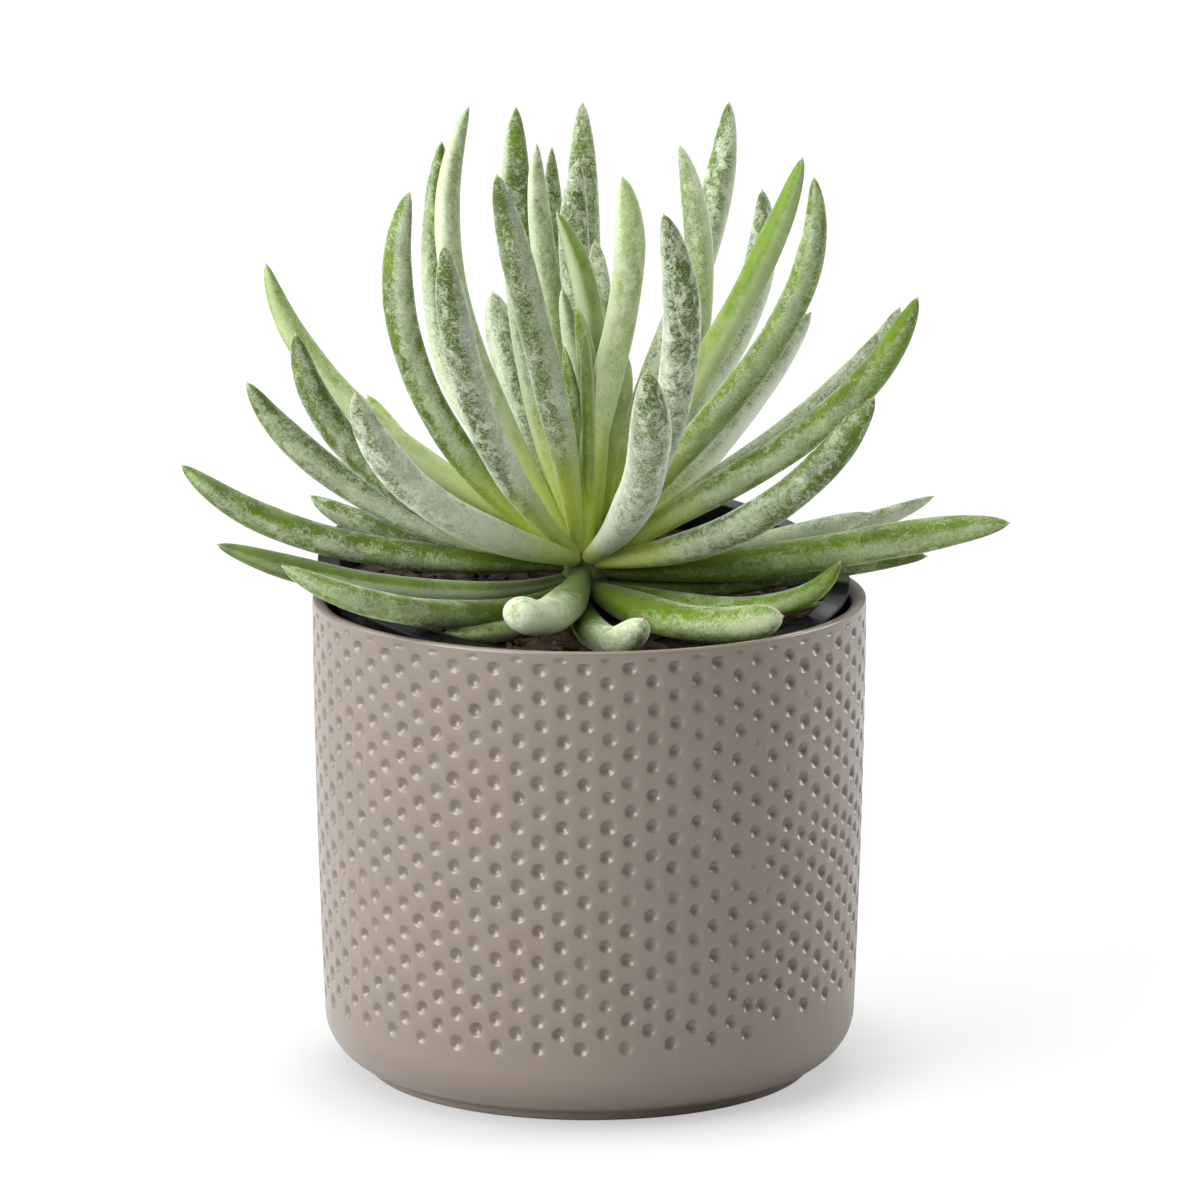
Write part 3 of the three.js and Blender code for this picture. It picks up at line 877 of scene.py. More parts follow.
    def _squared(self, piece: Piece, beyond: float, half_height: float) -> None:
        """Moves a round ring of a flat piece to the border of a cell.

        Args:
            piece: The flat piece.
            beyond: The ring's vertices lie further out than this.
            half_height: Half the cell's height.
        """
        points = Bench.points(piece)
        ring = np.flatnonzero(np.hypot(points[:, 0], points[:, 1]) > beyond * MM)
        ladder = np.linspace(-half_height, half_height, len(ring) // 2 - 1)
        border = [(side * self.pitch / 2, float(y)) for side in (1, -1) for y in ladder]
        border += [(0.0, half_height), (0.0, -half_height)]
        border.sort(key=lambda spot: self._bearing(*spot))
        order = sorted(ring, key=lambda index: self._bearing(points[index, 0], points[index, 1]))
        points[order, :2] = np.array(border) * MM
        Bench.move(piece, points)

    @staticmethod
    def _bearing(x: float, y: float) -> int:
        """The direction of a spot in whole degrees, from 0 to 359."""
        return round(math.degrees(math.atan2(y, x))) % 360

    def _sheet(self) -> Piece:
        """The whole wall lying flat: two families of columns, copied across and down, and cut along the lip.

        Returns:
            The sheet.
        """
        across, down = self.pitch * MM, self.row_pitch * MM
        dimple = self._dimple()
        between = Bench.copied(dimple, "dimple_between")
        plain = self._plain()
        above = Bench.copied(plain, "plain_above")
        quarter = self.row_pitch / 4
        for piece, x, y, rows in (
            (dimple, 0.0, self.top_row, self.rows),
            (between, self.pitch, self.top_row + 2 * quarter, self.rows),
            (plain, self.pitch, self.border + quarter, 1),
            (above, 0.0, self.top_row + 3 * quarter, 1),
        ):
            piece.data.transform(Matrix.Translation((x * MM, y * MM, 0)))
            Bench.array(piece, rows, (0, -down, 0))
            Bench.array(piece, self.columns // 2, (2 * across, 0, 0))
        sheet = Bench.joined([dimple, between, plain, above], "ceramic_glazed_pot")
        Bench.mend(sheet, 1e-5)
        cut = self.sheet_top * MM
        with Bench.editing(sheet):
            for place, clear in ((cut - self.support * MM, False), (cut, True)):
                bpy.ops.mesh.select_all(action="SELECT")
                line = {"plane_co": (0, place, 0), "plane_no": (0, 1, 0)}
                bpy.ops.mesh.bisect(clear_outer=clear, threshold=1e-7, **line)
        points = Bench.points(sheet)
        span = (self.columns - 0.5) * across
        top = (points[:, 1] > cut - 0.01 * MM) & (points[:, 0] > across) & (points[:, 0] < span - across)
        with Bench.editing(sheet, chosen=top):
            bpy.ops.mesh.remove_doubles(threshold=self.lip_merge * MM)
        return sheet

    def _squeezed(self, heights: np.ndarray) -> np.ndarray:
        """Presses the flat sheet's upper end together, so that its last row lies right under the lip.

        Args:
            heights: Heights on the flat sheet.

        Returns:
            Heights on the pot.
        """
        start = self.squeeze_from
        share = (self.upper_border - start) / (self.sheet_top - start)
        return np.where(heights > start, start + (heights - start) * share, heights)

    def _uneven(self, points: np.ndarray) -> tuple[np.ndarray, np.ndarray]:
        """Gives each dimple a place, width and depth of its own, as hand-pressed ones have.

        Args:
            points: The flat sheet's vertices in millimetres.

        Returns:
            The vertices, moved, and for each the spot that says how far it strays: its dimple's middle, or its own.
        """
        rng = np.random.default_rng(self.seed)
        column = np.rint(points[:, 0] / self.pitch).astype(int)
        offset = np.where(column % 2 == 0, 0.0, self.row_pitch / 2)
        row = np.rint((self.top_row + offset - points[:, 1]) / self.row_pitch).astype(int)
        middle = np.stack([column * self.pitch, self.top_row + offset - row * self.row_pitch], 1)
        away = points[:, :2] - middle
        inside = (np.hypot(away[:, 0], away[:, 1]) < self.dimple_profile[0][0] + 0.05) & (row < self.rows)
        seat = (column % self.columns, np.clip(row, 0, self.rows))
        cells = (self.columns, self.rows + 1)
        shift = self.stray.drawn(rng, (*cells, 2))
        size, depth = self.size.drawn(rng, cells), self.depth.drawn(rng, cells)
        for faint_column, faint_row in self.faint:
            size[faint_column % self.columns, faint_row] = self.faint_size
            depth[faint_column % self.columns, faint_row] = self.faint_depth
        shift[1::2, 0, 1], size[1::2, 0], depth[1::2, 0] = 0.0, self.top_size, self.top_depth
        fade = np.clip((self.sheet_top - points[:, 1]) / self.support, 0.0, 1.0)
        moved = points.copy()
        moved[:, :2] += (shift[seat] + away * (size[seat] - 1)[:, None]) * (fade * inside)[:, None]
        moved[:, 2] *= depth[seat] * fade
        drift = self.drift.drawn(rng, (self.rows * 2 + 3,))
        levels = self.top_row + self.row_pitch / 2 - np.arange(len(drift)) * self.row_pitch / 2
        moved[:, 0] += np.interp(-points[:, 1], -levels, drift)
        moved[:, 1] = self._squeezed(moved[:, 1])
        return moved, np.where(inside[:, None], middle, points[:, :2])

    def _strayed(self, spots: np.ndarray) -> tuple[np.ndarray, np.ndarray]:
        """How far the columns and rows of the pot stray from a regular grid.

        Args:
            spots: Places on the flat sheet in millimetres.

        Returns:
            The turn in degrees and the rise in millimetres.
        """
        degrees = self.first_column + spots[:, 0] / self.pitch * 360 / self.columns
        turned = (degrees + 180.0) % 360.0 - 180.0
        height = self._squeezed(spots[:, 1])
        above = smoothstep(height, *self.lean_levels)
        turn = above * np.interp(turned, *self.lean_above) + (1 - above) * np.interp(turned, *self.lean_below)
        slip = np.interp(turned, *self.slip) * (1 - smoothstep(height, *self.slip_levels))
        rest = self.slip_rest
        slip = np.where(slip < 0, slip * (rest + (1 - rest) * smoothstep(height, *self.slip_fade)), slip)
        slip += np.interp(turned, *self.gain) * (1 - smoothstep(height, *self.gain_levels))
        held = np.clip((height - self.border) / self.held_below, 0.0, 1.0)
        held *= np.clip((self.upper_border - height) / self.held_above, 0.0, 1.0)
        return turn, np.interp(height, *self.sag) + (np.interp(turned, *self.tilt) + slip) * held

    def _wrap(self, sheet: Piece) -> None:
        """Rolls the flat sheet round the pot's wall.

        Args:
            sheet: The sheet.
        """
        moved, spots = self._uneven(Bench.points(sheet) / MM)
        turn, rise = self._strayed(spots)
        angle = np.radians(self.first_column + moved[:, 0] / self.pitch * 360 / self.columns + turn)
        height = moved[:, 1] + rise
        radius = self.wall_radius(height) + moved[:, 2]
        Bench.move(sheet, np.stack([radius * np.sin(angle), -radius * np.cos(angle), height], 1) * MM)

    def _lip(self) -> Outline:
        """The outline from the sheet's upper border over the lip and down to the middle of the floor.

        Returns:
            The outline.
        """
        edge, top = self.lip_edge, self.height
        inner = self.wall - edge
        bend = self.floor + self.fillet
        return [
            *arc((self.radius - edge, top - edge), edge, 0, 90, 6),
            *arc((self.radius - edge, top - inner), inner, 90, 180, 7)[1:],
            *[(float(self.wall_radius(z)) - self.wall, z) for z in (96, 82, 66, 50, 36)],
            *arc((float(self.wall_radius(bend)) - self.wall - self.fillet, bend), self.fillet, 0, -90, 9),
            (12.0, self.floor),
            (0.0, self.floor),
        ]

    def _foot(self) -> Outline:
        """The outline from the sheet's lower border round the corner and under the foot.

        Returns:
            The outline.
        """
        border = self.border + self.sag[1][0]
        start = self.foot_height + self.corner
        foot = self.foot_radius
        ring = ((-0.1, self.foot_height - 0.1), (0.1, self.foot_height * 0.6), (0.15, 0.5), (0.6, 0.05), (1.2, 0.0))
        hollow = ((5.0, 0.0), (5.8, 0.25), (6.6, 0.8), (8.0, 1.0))
        return [
            *[(float(self.wall_radius(z)), z) for z in (border, (border + start) / 2)],
            *arc((float(self.wall_radius(start)) - self.corner, start), self.corner, 0, -72, 14),
            *[(foot - inwards, height) for inwards, height in ring + hollow],
            (20.0, 1.0),
            (0.0, 1.0),
        ]

    @staticmethod
    def _grow(pot: Piece, outline: Outline) -> None:
        """Draws the open border at an outline's first height on along the outline, and closes it at the axis.

        Args:
            pot: The pot so far.
            outline: Points of radius and height in millimetres, of which the last is on the axis.
        """
        points = Bench.points(pot) / MM
        with Bench.editing(pot, chosen=abs(points[:, 2] - outline[0][1]) < 0.01):
            for (radius, height), (after, up) in zip(outline, outline[1:]):
                bpy.ops.mesh.extrude_region_move(TRANSFORM_OT_translate={"value": (0, 0, (up - height) * MM)})
                if after:
                    bpy.ops.transform.resize(value=(after / radius, after / radius, 1), center_override=(0, 0, 0))
                else:
                    bpy.ops.mesh.merge(type="CENTER")

    def _note(self, pot: Piece) -> None:
        """Writes what the finish reads: how deep in a dimple a vertex lies, which sets the painted shade there, and
        whether its clay is bare.

        Args:
            pot: The closed pot.
        """
        points = Bench.points(pot) / MM
        radius, height = np.hypot(points[:, 0], points[:, 1]), points[:, 2]
        # How deep each vertex lies in its dimple, which sets the painted shade there.
        depth = np.clip((self.wall_radius(height) - radius) / self.dimple_depth, 0.0, 1.0)
        outside = (height > 16.0) & (height < self.upper_border) & (radius > self.radius - self.wall + 0.4 - self.draft)
        bare = (height < 0.9) & (radius < self.foot_radius - 0.9)
        Bench.note(pot, "glaze", np.stack([np.where(outside, depth, 0.0), bare, np.zeros(len(points))], 1))

    def build(self, effects: Effects) -> None:
        """Models the pot and dresses it.

        Args:
            effects: The shared effects.
        """
        pot = self._sheet()
        self._wrap(pot)
        Bench.mend(pot, 5e-6)
        for outline in (self._lip(), self._foot()):
            self._grow(pot, outline)
        Bench.mend(pot)
        self._note(pot)
        Bench.smooth(pot, 55.0)
        dress(pot, self.finish.made(effects), Slot.GLAZE, ["ceramic_pot"])


@dataclass(frozen=True)
class Ground:
    """The plant's own frame: its origin is the soil's level at the stem, and it leans with the nursery pot."""

    lip_centre: Spot = (-1.2, 3.1, 114.4)
    lean: float = 9.2
    lean_side: float = 17.0
    below_lip: float = 6.5

    @property
    def turn(self) -> Matrix:
        """The lean as a rotation."""
        side = math.radians(self.lean_side)
        return Matrix.Rotation(math.radians(self.lean), 3, Vector((math.cos(side), math.sin(side), 0)))

    @property
    def origin(self) -> Vector:
        """Where the stem leaves the soil, in millimetres in the part's frame."""
        return Vector(self.lip_centre) - self.turn @ Vector((0, 0, self.below_lip))

    def placed(self, points: np.ndarray) -> np.ndarray:
        """Carries points from the plant's frame into the part's.

        Args:
            points: Rows of millimetres.

        Returns:
            Rows of metres.
        """
        return (points @ np.array(self.turn).T + np.array(self.origin)) * MM

    def carry(self, piece: Piece) -> None:
        """Moves a piece that was modelled upright into its place."""
        Bench.move(piece, self.placed(Bench.points(piece) / MM))


@dataclass
class NurseryPot:
    """The thin black pot that the plant grows in, with a turned-out lip, a step under it and drain holes."""

    finish: PlasticFinish
    ground: Ground
    height: float = 102.6
    lip_radius: float = 60.2
    lip_thickness: float = 1.2
    lip_rounding: float = 0.45
    top_radius: float = 56.0
    inner_rounding: float = 0.5
    step_in: float = 1.3
    step_below: float = 9.0
    step_width: float = 0.9
    step_rise: float = 0.7
    foot_radius: float = 36.0
    foot_edge: float = 1.0
    wall: float = 0.9
    drains: int = 6
    drain_radius: float = 3.0
    drain_circle: float = 24.0
    punch_depth: float = 6.0

    @property
    def foot(self) -> float:
        """The height of its underside in the plant's frame."""
        return self.ground.below_lip - self.height

    def _outline(self) -> Outline:
        """The outline from the middle of the underside over the lip and down inside to the middle of the floor.

        Returns:
            The outline.
        """
        top, foot = self.ground.below_lip, self.foot
        under = top - self.lip_thickness
        edge, inner, wall = self.lip_rounding, self.inner_rounding, self.wall
        step, level = self.top_radius - self.step_in, under - self.step_below
        return [
            (0.0, foot),
            (self.foot_radius - self.foot_edge, foot),
            (self.foot_radius, foot + self.foot_edge),
            (step, level),
            (step + self.step_width, level + self.step_rise),
            (self.top_radius - 0.3, under),
            *arc((self.lip_radius - edge, under + edge), edge, -90, 0, 4),
            *arc((self.lip_radius - edge, top - edge), edge, 0, 90, 4),
            (self.top_radius + 0.8, top - 0.05),
            *arc((self.top_radius - wall + inner, top - inner), inner, 90, 180, 4),
            (step + self.step_width - wall, level + self.step_rise),
            (step - wall, level),
            (self.foot_radius - wall, foot + wall + 0.6),
            (self.foot_radius - wall - 0.8, foot + wall),
            (0.0, foot + wall),
        ]

    def _drill(self, pot: Piece) -> None:
        """Punches the drain holes through the floor.

        Args:
            pot: The pot, still upright.
        """
        size = {"radius": self.drain_radius * MM, "depth": self.punch_depth * MM}
        for index in range(self.drains):
            angle = 2 * math.pi * index / self.drains
            place = (self.drain_circle * math.cos(angle) * MM, self.drain_circle * math.sin(angle) * MM, self.foot * MM)
            Bench.clear()
            bpy.ops.mesh.primitive_cylinder_add(vertices=24, location=place, **size)
            punch = Bench.named("drain_punch")
            Bench.fit(pot, "BOOLEAN", operation="DIFFERENCE", solver="EXACT", object=punch)
            bpy.data.objects.remove(punch)

    def build(self, effects: Effects) -> None:
        """Models the nursery pot and dresses it.

        Args:
            effects: The shared effects.
        """
        pot = Bench.spun("black_nursery_pot", self._outline(), 128)
        self._drill(pot)
        self.ground.carry(pot)
        Bench.smooth(pot, 35.0)
        dress(pot, self.finish.made(effects), Slot.PLASTIC, ["nursery_pot"])


@dataclass(frozen=True)
class Strewn:
    """How copies of a piece lie on the soil: how many, from which seed, how large, and how far they stand out."""

    count: int
    seed: int
    sizes: tuple[float, float]
    out: float


@dataclass
class Soil:
    """Potting soil with crumbs and bark chips on it."""

    finish: EarthFinish
    bark_finish: EarthFinish
    ground: Ground
    radius: float = 54.2
    depth: float = 95.0
    foot_radius: float = 34.6
    level_at: float = 0.5
    flat_to: float = 40.0
    fall: float = 2.4
    clump: float = 1.1
    rings: int = 46
    steps: int = 132
    crumb_radius: float = 0.8
    chip_size: Spot = (4.6, 2.6, 1.0)
    crumbs: Strewn = Strewn(420, 5, (0.5, 1.5), 0.15)
    chips: Strewn = Strewn(150, 8, (0.55, 1.35), 0.25)
    strewn_to: float = 0.965
    stretches: Sequence[tuple[float, float]] = ((0.7, 1.5), (0.7, 1.2), (0.6, 1.1))
    misshape: float = 0.55
    tips: tuple[float, float] = (0.35, 0.3)

    def _level(self, x: float, y: float) -> float:
        """The soil's height at a place, in the plant's frame: it falls off towards the wall, and it is clumpy.

        Args:
            x: How far right the place is, in millimetres.
            y: How far back it is.

        Returns:
            The height in millimetres.
        """
        beyond = max(0.0, (math.hypot(x, y) - self.flat_to) / 14.0)
        clumps = noise.fractal(Vector((x * 0.16, y * 0.16, 3.0)), 0.7, 2.1, 5)
        return self.level_at - self.fall * beyond**2 + clumps * self.clump

    def _body(self) -> Piece:
        """The soil itself, turned and then roughened on top.

        Returns:
            The soil.
        """
        radii = np.linspace(self.radius, 0.0, self.rings)
        foot = -self.depth
        outline = [(0.0, foot), (self.foot_radius, foot), (self.radius - 0.4, -4.0), *[(float(r), 0.0) for r in radii]]
        piece = Bench.spun("soil_surface", outline, self.steps)
        points = Bench.points(piece) / MM
        for index in np.flatnonzero(points[:, 2] > -0.5):
            x, y, _ = points[index]
            points[index, 2] = self._level(float(x), float(y))
        Bench.move(piece, points * MM)
        return piece

    def _chip(self) -> Piece:
        """One flake of bark, a slab with a vertex in the middle of every edge and face.

        Returns:
            The flake.
        """
        Bench.clear()
        bpy.ops.mesh.primitive_cube_add(size=MM)
        piece = Bench.named("bark_chips")
        with Bench.editing(piece):
            bpy.ops.transform.resize(value=self.chip_size)
            bpy.ops.mesh.subdivide(number_cuts=1)
        return piece

    def _crumb(self) -> Piece:
        """One crumb of soil, nearly round.

        Returns:
            The crumb.
        """
        Bench.clear()
        bpy.ops.mesh.primitive_ico_sphere_add(subdivisions=1, radius=self.crumb_radius * MM)
        return Bench.named("soil_crumbs")

    def _strewn(self, seed: Piece, how: Strewn) -> Piece:
        """Copies a piece many times over the soil, each copy turned, sized and misshapen its own way.

        Args:
            seed: The piece that is repeated.
            how: How many copies there are, and how they lie.

        Returns:
            All the copies as one piece, with the name of the first.
        """
        rng = random.Random(how.seed)
        name, shape, copies = seed.name, Bench.points(seed) / MM, []
        for _ in range(how.count):
            angle, share = rng.uniform(0, 2 * math.pi), math.sqrt(rng.uniform(0.03, 1.0))
            away = self.radius * self.strewn_to * share
            x, y = away * math.cos(angle), away * math.sin(angle)
            size = rng.uniform(*how.sizes)
            stretch = np.array([rng.uniform(*limits) for limits in self.stretches]) * size
            wobble = np.array([noise.noise_vector(Vector(p) * 0.9 + Vector((x, y, 0))) for p in shape])
            turn = Matrix.Rotation(rng.uniform(0, 2 * math.pi), 3, "Z")
            for axis, tip in zip("XY", self.tips):
                turn = turn @ Matrix.Rotation(rng.gauss(0, tip), 3, axis)
            points = (shape * stretch + wobble * self.misshape * size) @ np.array(turn).T
            points += np.array([x, y, self._level(x, y) + how.out * size])
            twin = Bench.copied(seed, name)
            Bench.move(twin, points * MM)
            copies.append(twin)
        bpy.data.objects.remove(seed)
        return Bench.joined(copies, name)

    def build(self, effects: Effects) -> None:
        """Models the soil, its crumbs and its bark, and dresses them.

        Args:
            effects: The shared effects.
        """
        body, crumbs = self._body(), self._strewn(self._crumb(), self.crumbs)
        bark = self._strewn(self._chip(), self.chips)
        earth, wood = self.finish.made(effects), self.bark_finish.made(effects)
        pieces = ((body, earth, 50.0, ["soil"]), (crumbs, earth, 50.0, []), (bark, wood, 30.0, []))
        for piece, material, degrees, nodes in pieces:
            self.ground.carry(piece)
            Bench.smooth(piece, degrees)
            dress(piece, material, Slot.SOIL, nodes)


@dataclass
class Stem:
    """The short stem that the leaves sit on."""

    finish: EarthFinish
    ground: Ground
    radius: float = 6.2
    height: float = 13.6
    root: float = 10.0
    taper: float = 0.84
    scar: float = 0.22
    ribs: float = 0.12

    def reach(self, level: float) -> float:
        """The stem's radius at a level above the soil."""
        share = min(max(level / self.height, 0.0), 1.0)
        return self.radius * math.sqrt(1 - self.taper * share * share)

    def build(self, effects: Effects) -> None:
        """Models the stem with the scars of old leaves, and dresses it.

        Args:
            effects: The shared effects.
        """
        levels = np.linspace(0.0, self.height, 15)
        outline = [(0.0, -self.root), (self.radius, -self.root), *[(self.reach(float(v)), float(v)) for v in levels]]
        piece = Bench.spun("leaf_stem", [*outline, (1.2, self.height + 0.7), (0.0, self.height + 0.8)], 40)
        points = Bench.points(piece) / MM
        angle, level = np.arctan2(points[:, 1], points[:, 0]), points[:, 2]
        ring = self.scar * np.sin(level * 2.4 + 2 * angle) + self.ribs * np.sin(5 * angle + level)
        points[:, :2] *= (1 + ring / np.maximum(np.hypot(points[:, 0], points[:, 1]), 3.0))[:, None]
        Bench.move(piece, points * MM)
        self.ground.carry(piece)
        Bench.smooth(piece, 60.0)
        dress(piece, self.finish.made(effects), Slot.STEM, ["stem"])


@dataclass(frozen=True)
class Leaf:
    """One leaf.

    Its middle line runs from its seat, a level on the stem, through low and high to its tip, and is width thick.
    Thick and tipward change the felt's cover as a whole and towards the tip, tone is how yellow the leaf is, and glow
    how far its base is brightened, partly its own paler colour and partly painted light through the leaf, or, below
    nought, darkened by painted shade, over the share bare_base. It tapers from the share taper_at on.
    """

    low: Spot
    high: Spot
    tip: Spot
    seat: float
    width: float
    felt: Felt = Felt.FROST
    tone: float = 0.2
    thick: float = 0.0
    tipward: float = -0.12
    taper_at: float = 0.74
    bare_base: float = 0.3
    blunt: float = 0.0
    glow: float = 0.75

    def spine(self, stem: Stem) -> np.ndarray:
        """The leaf's middle line, in the plant's frame.

        Args:
            stem: The stem that it sits on.

        Returns:
            The four control points of the cubic curve that passes low and high at a third and two thirds.
        """
        low, high, tip = (np.array(spot, float) for spot in (self.low, self.high, self.tip))
        seat = low * (1, 1, 0) / math.hypot(low[0], low[1]) * 0.7 * stem.reach(self.seat) + (0, 0, self.seat)
        first = (-5 * seat + 18 * low - 9 * high + 2 * tip) / 6
        second = (2 * seat - 9 * low + 18 * high - 5 * tip) / 6
        return np.stack([seat, first, second, tip])


INNER = (
    Leaf((-8, -11.5, 46.5), (-16, -18.5, 77), (-23.5, -22.5, 105.5), 11.5, 8, Felt.FROST, 0.1, -0.03, -0.29),
    Leaf((1.5, -5.5, 43.5), (6, -8, 73), (4, -9, 102), 12, 7.2, Felt.HAZE, 0.62, 0.46, -0.22, taper_at=0.8),
    Leaf((-5, 4.5, 44.5), (-11.5, 11, 72.5), (-15, 17.5, 100.5), 12.5, 5.8, Felt.HAZE, 0.35, 0.08, 0.15),
    Leaf((1.5, 0, 40.5), (-1.5, 2, 66.5), (-10, 5.5, 88.5), 13, 6.3, Felt.BARE, 0.45, 0.38, -0.52),
    Leaf((0, -3.5, 33), (-1, -4.5, 51.5), (-4.5, -3.5, 69.5), 13, 4.9, Felt.HAZE, 0.55, -0.05),
    Leaf((0, -6, 31.5), (-1, -8.5, 49), (-2.5, -9, 65.5), 13, 3.2, Felt.BARE, 0.6, 0.1, 0.0),
    Leaf((-0.5, 1, 33), (-3.5, 3.5, 51.5), (-8, 4.5, 71), 13, 5, Felt.HAZE, 0.4, 0.2, 0.0),
    Leaf((-0.5, -3, 28.5), (-3.5, -3.5, 45), (-7, -3, 60), 13, 3.4, Felt.THIN, 0.5),
    Leaf((1, 6.5, 32.5), (1, 13.5, 57), (-1, 21, 77.5), 12, 6.2, Felt.FROST, 0.25, 0.2, 0.0),
    Leaf((-12, 10, 41.5), (-18, 25, 71.5), (-20, 40, 102), 12, 7.4, Felt.THIN, 0.25, 0.31, -0.5),
    Leaf((-0.5, 10, 40), (-4.5, 22, 65.5), (-5.5, 32.5, 92.5), 12.5, 7.2, Felt.MOTTLE, 0.15, 0.4, -0.56),
    Leaf((-3.5, 16, 39), (-8.5, 32, 65), (-11.5, 46, 91), 12, 5, Felt.FROST, 0.25),
    Leaf((-0.5, 14.5, 42.5), (-3, 31, 72), (-5, 46, 102), 12, 7.3, Felt.MOTTLE, 0.28, 0.27, -0.42),
    Leaf((4, 4.5, 23.5), (6, 11.5, 38), (7, 18, 52.5), 11, 5.6, Felt.HAZE, 0.8, 0.2, 0.2),
)

MIDDLE = (
    Leaf((-19, -21, 37), (-29, -34.5, 66), (-34, -42, 95), 10.5, 8.2, Felt.MOTTLE, 0.02, 0.06, -0.37),
    Leaf(
        (10.5, -27.5, 33), (12.5, -43.5, 54), (11, -48, 71), 10, 9.4, Felt.WOOL, 0.05, 0.08, -0.45,
        bare_base=0.05,
    ),
    Leaf((15, -18, 42), (18.5, -27.5, 73), (13, -31.5, 101), 10.5, 8.6, Felt.MOTTLE, 0.05, 0.26, -0.53),
    Leaf((-26.5, -7.5, 32.5), (-42, -10.5, 63), (-42.5, -9.5, 96.5), 10.5, 8.4, Felt.THIN, 0.28, -0.17, 0.07),
    Leaf((23.5, -6, 41), (42, -6, 70), (46.5, -1, 101.5), 10, 8, Felt.FROST, 0.35, -0.2),
    Leaf((18, 0, 43), (33.5, 8.5, 71), (44.5, 15, 101), 11, 7.2, Felt.BARE, 0.6, 0.15, -0.43),
    Leaf((-20.5, 4, 40.5), (-33, 11, 73), (-30.5, 20.5, 107.5), 11, 6.3, Felt.HAZE, 0.4, 0.54, -0.52),
    Leaf((-23, 15, 32), (-34.5, 28, 50.5), (-36.5, 38.5, 93.5), 10, 7.4, Felt.FROST, 0.2, 0.18, -0.62),
    Leaf((18, 4, 40), (23, 14.5, 70), (17, 23, 100), 11, 6.8, Felt.HAZE, 0.35, -0.02, 0.14),
    Leaf((13, 12.5, 44.5), (23.5, 27, 74), (28, 38.5, 106), 11, 7.8, Felt.MOTTLE, 0.22, 0.4, -0.54),
    Leaf((18.5, 15, 34), (33.5, 36.5, 54.5), (37, 50.5, 82), 10, 8, Felt.MOTTLE, 0.15, 0.39, -0.48),
    Leaf(
        (-10, 12, 25.5), (-17.5, 22.5, 42.5), (-23.5, 33.5, 60), 10, 8, Felt.FROST, 0.1, 0.09, -0.01,
        taper_at=0.8,
    ),
    Leaf((22, 17.5, 22.5), (36.5, 37.5, 35.5), (50, 50, 53), 9, 7.8, Felt.FROST, 0.12, 0.47, -0.26),
    Leaf((-24, -28.5, 25), (-41.5, -44, 42.5), (-52, -51, 63.5), 9.5, 9.4, Felt.WOOL, 0.05, 0.25, -0.53),
    Leaf((28, -23, 23.5), (47, -36.5, 42.5), (61, -41, 64.5), 9, 9.2, Felt.MOTTLE, 0.12, -0.16, -0.34),
    Leaf((30.5, -8, 30.5), (55, -9, 50.5), (71, -5, 76), 8.5, 8.6, Felt.THIN, 0.35, -0.03, -0.54),
    Leaf((31, 4, 28), (55, 11.5, 46.5), (68.5, 17.5, 66), 8, 8.1, Felt.FROST, 0.15, 0.32, -0.38),
    Leaf((-30, 1.5, 25), (-57.5, 6.5, 44), (-74.5, 13, 71), 10, 7, Felt.HAZE, 0.7, 0.33, -0.52),
    Leaf((-30, -11, 21.5), (-53.5, -13.5, 38), (-66.5, -12.5, 63.5), 9, 8.6, Felt.MOTTLE, 0.12, -0.25, -0.18),
    Leaf((-29.5, -4, 14.5), (-56.5, -4, 27), (-77.5, -1, 47.5), 8, 8, Felt.FROST, 0.12, -0.05, -0.37),
    Leaf((-19.5, 6.5, 12), (-37, 16.5, 21), (-51, 25.5, 36.5), 7, 7.6, Felt.HAZE, 0.9),
    Leaf((-1, 22, 25), (-3, 42, 41), (-4, 60, 57), 10, 7),
    Leaf((3, 24, 20), (4, 46, 31), (4, 66, 44), 9, 7.2, Felt.MOTTLE),
    Leaf((-8, 24, 18), (-15, 46, 27), (-22, 64, 38), 8, 7.4),
    Leaf((9, 25, 16), (17, 48, 23), (23, 68, 32), 8, 7.4, Felt.THIN, 0.3),
)

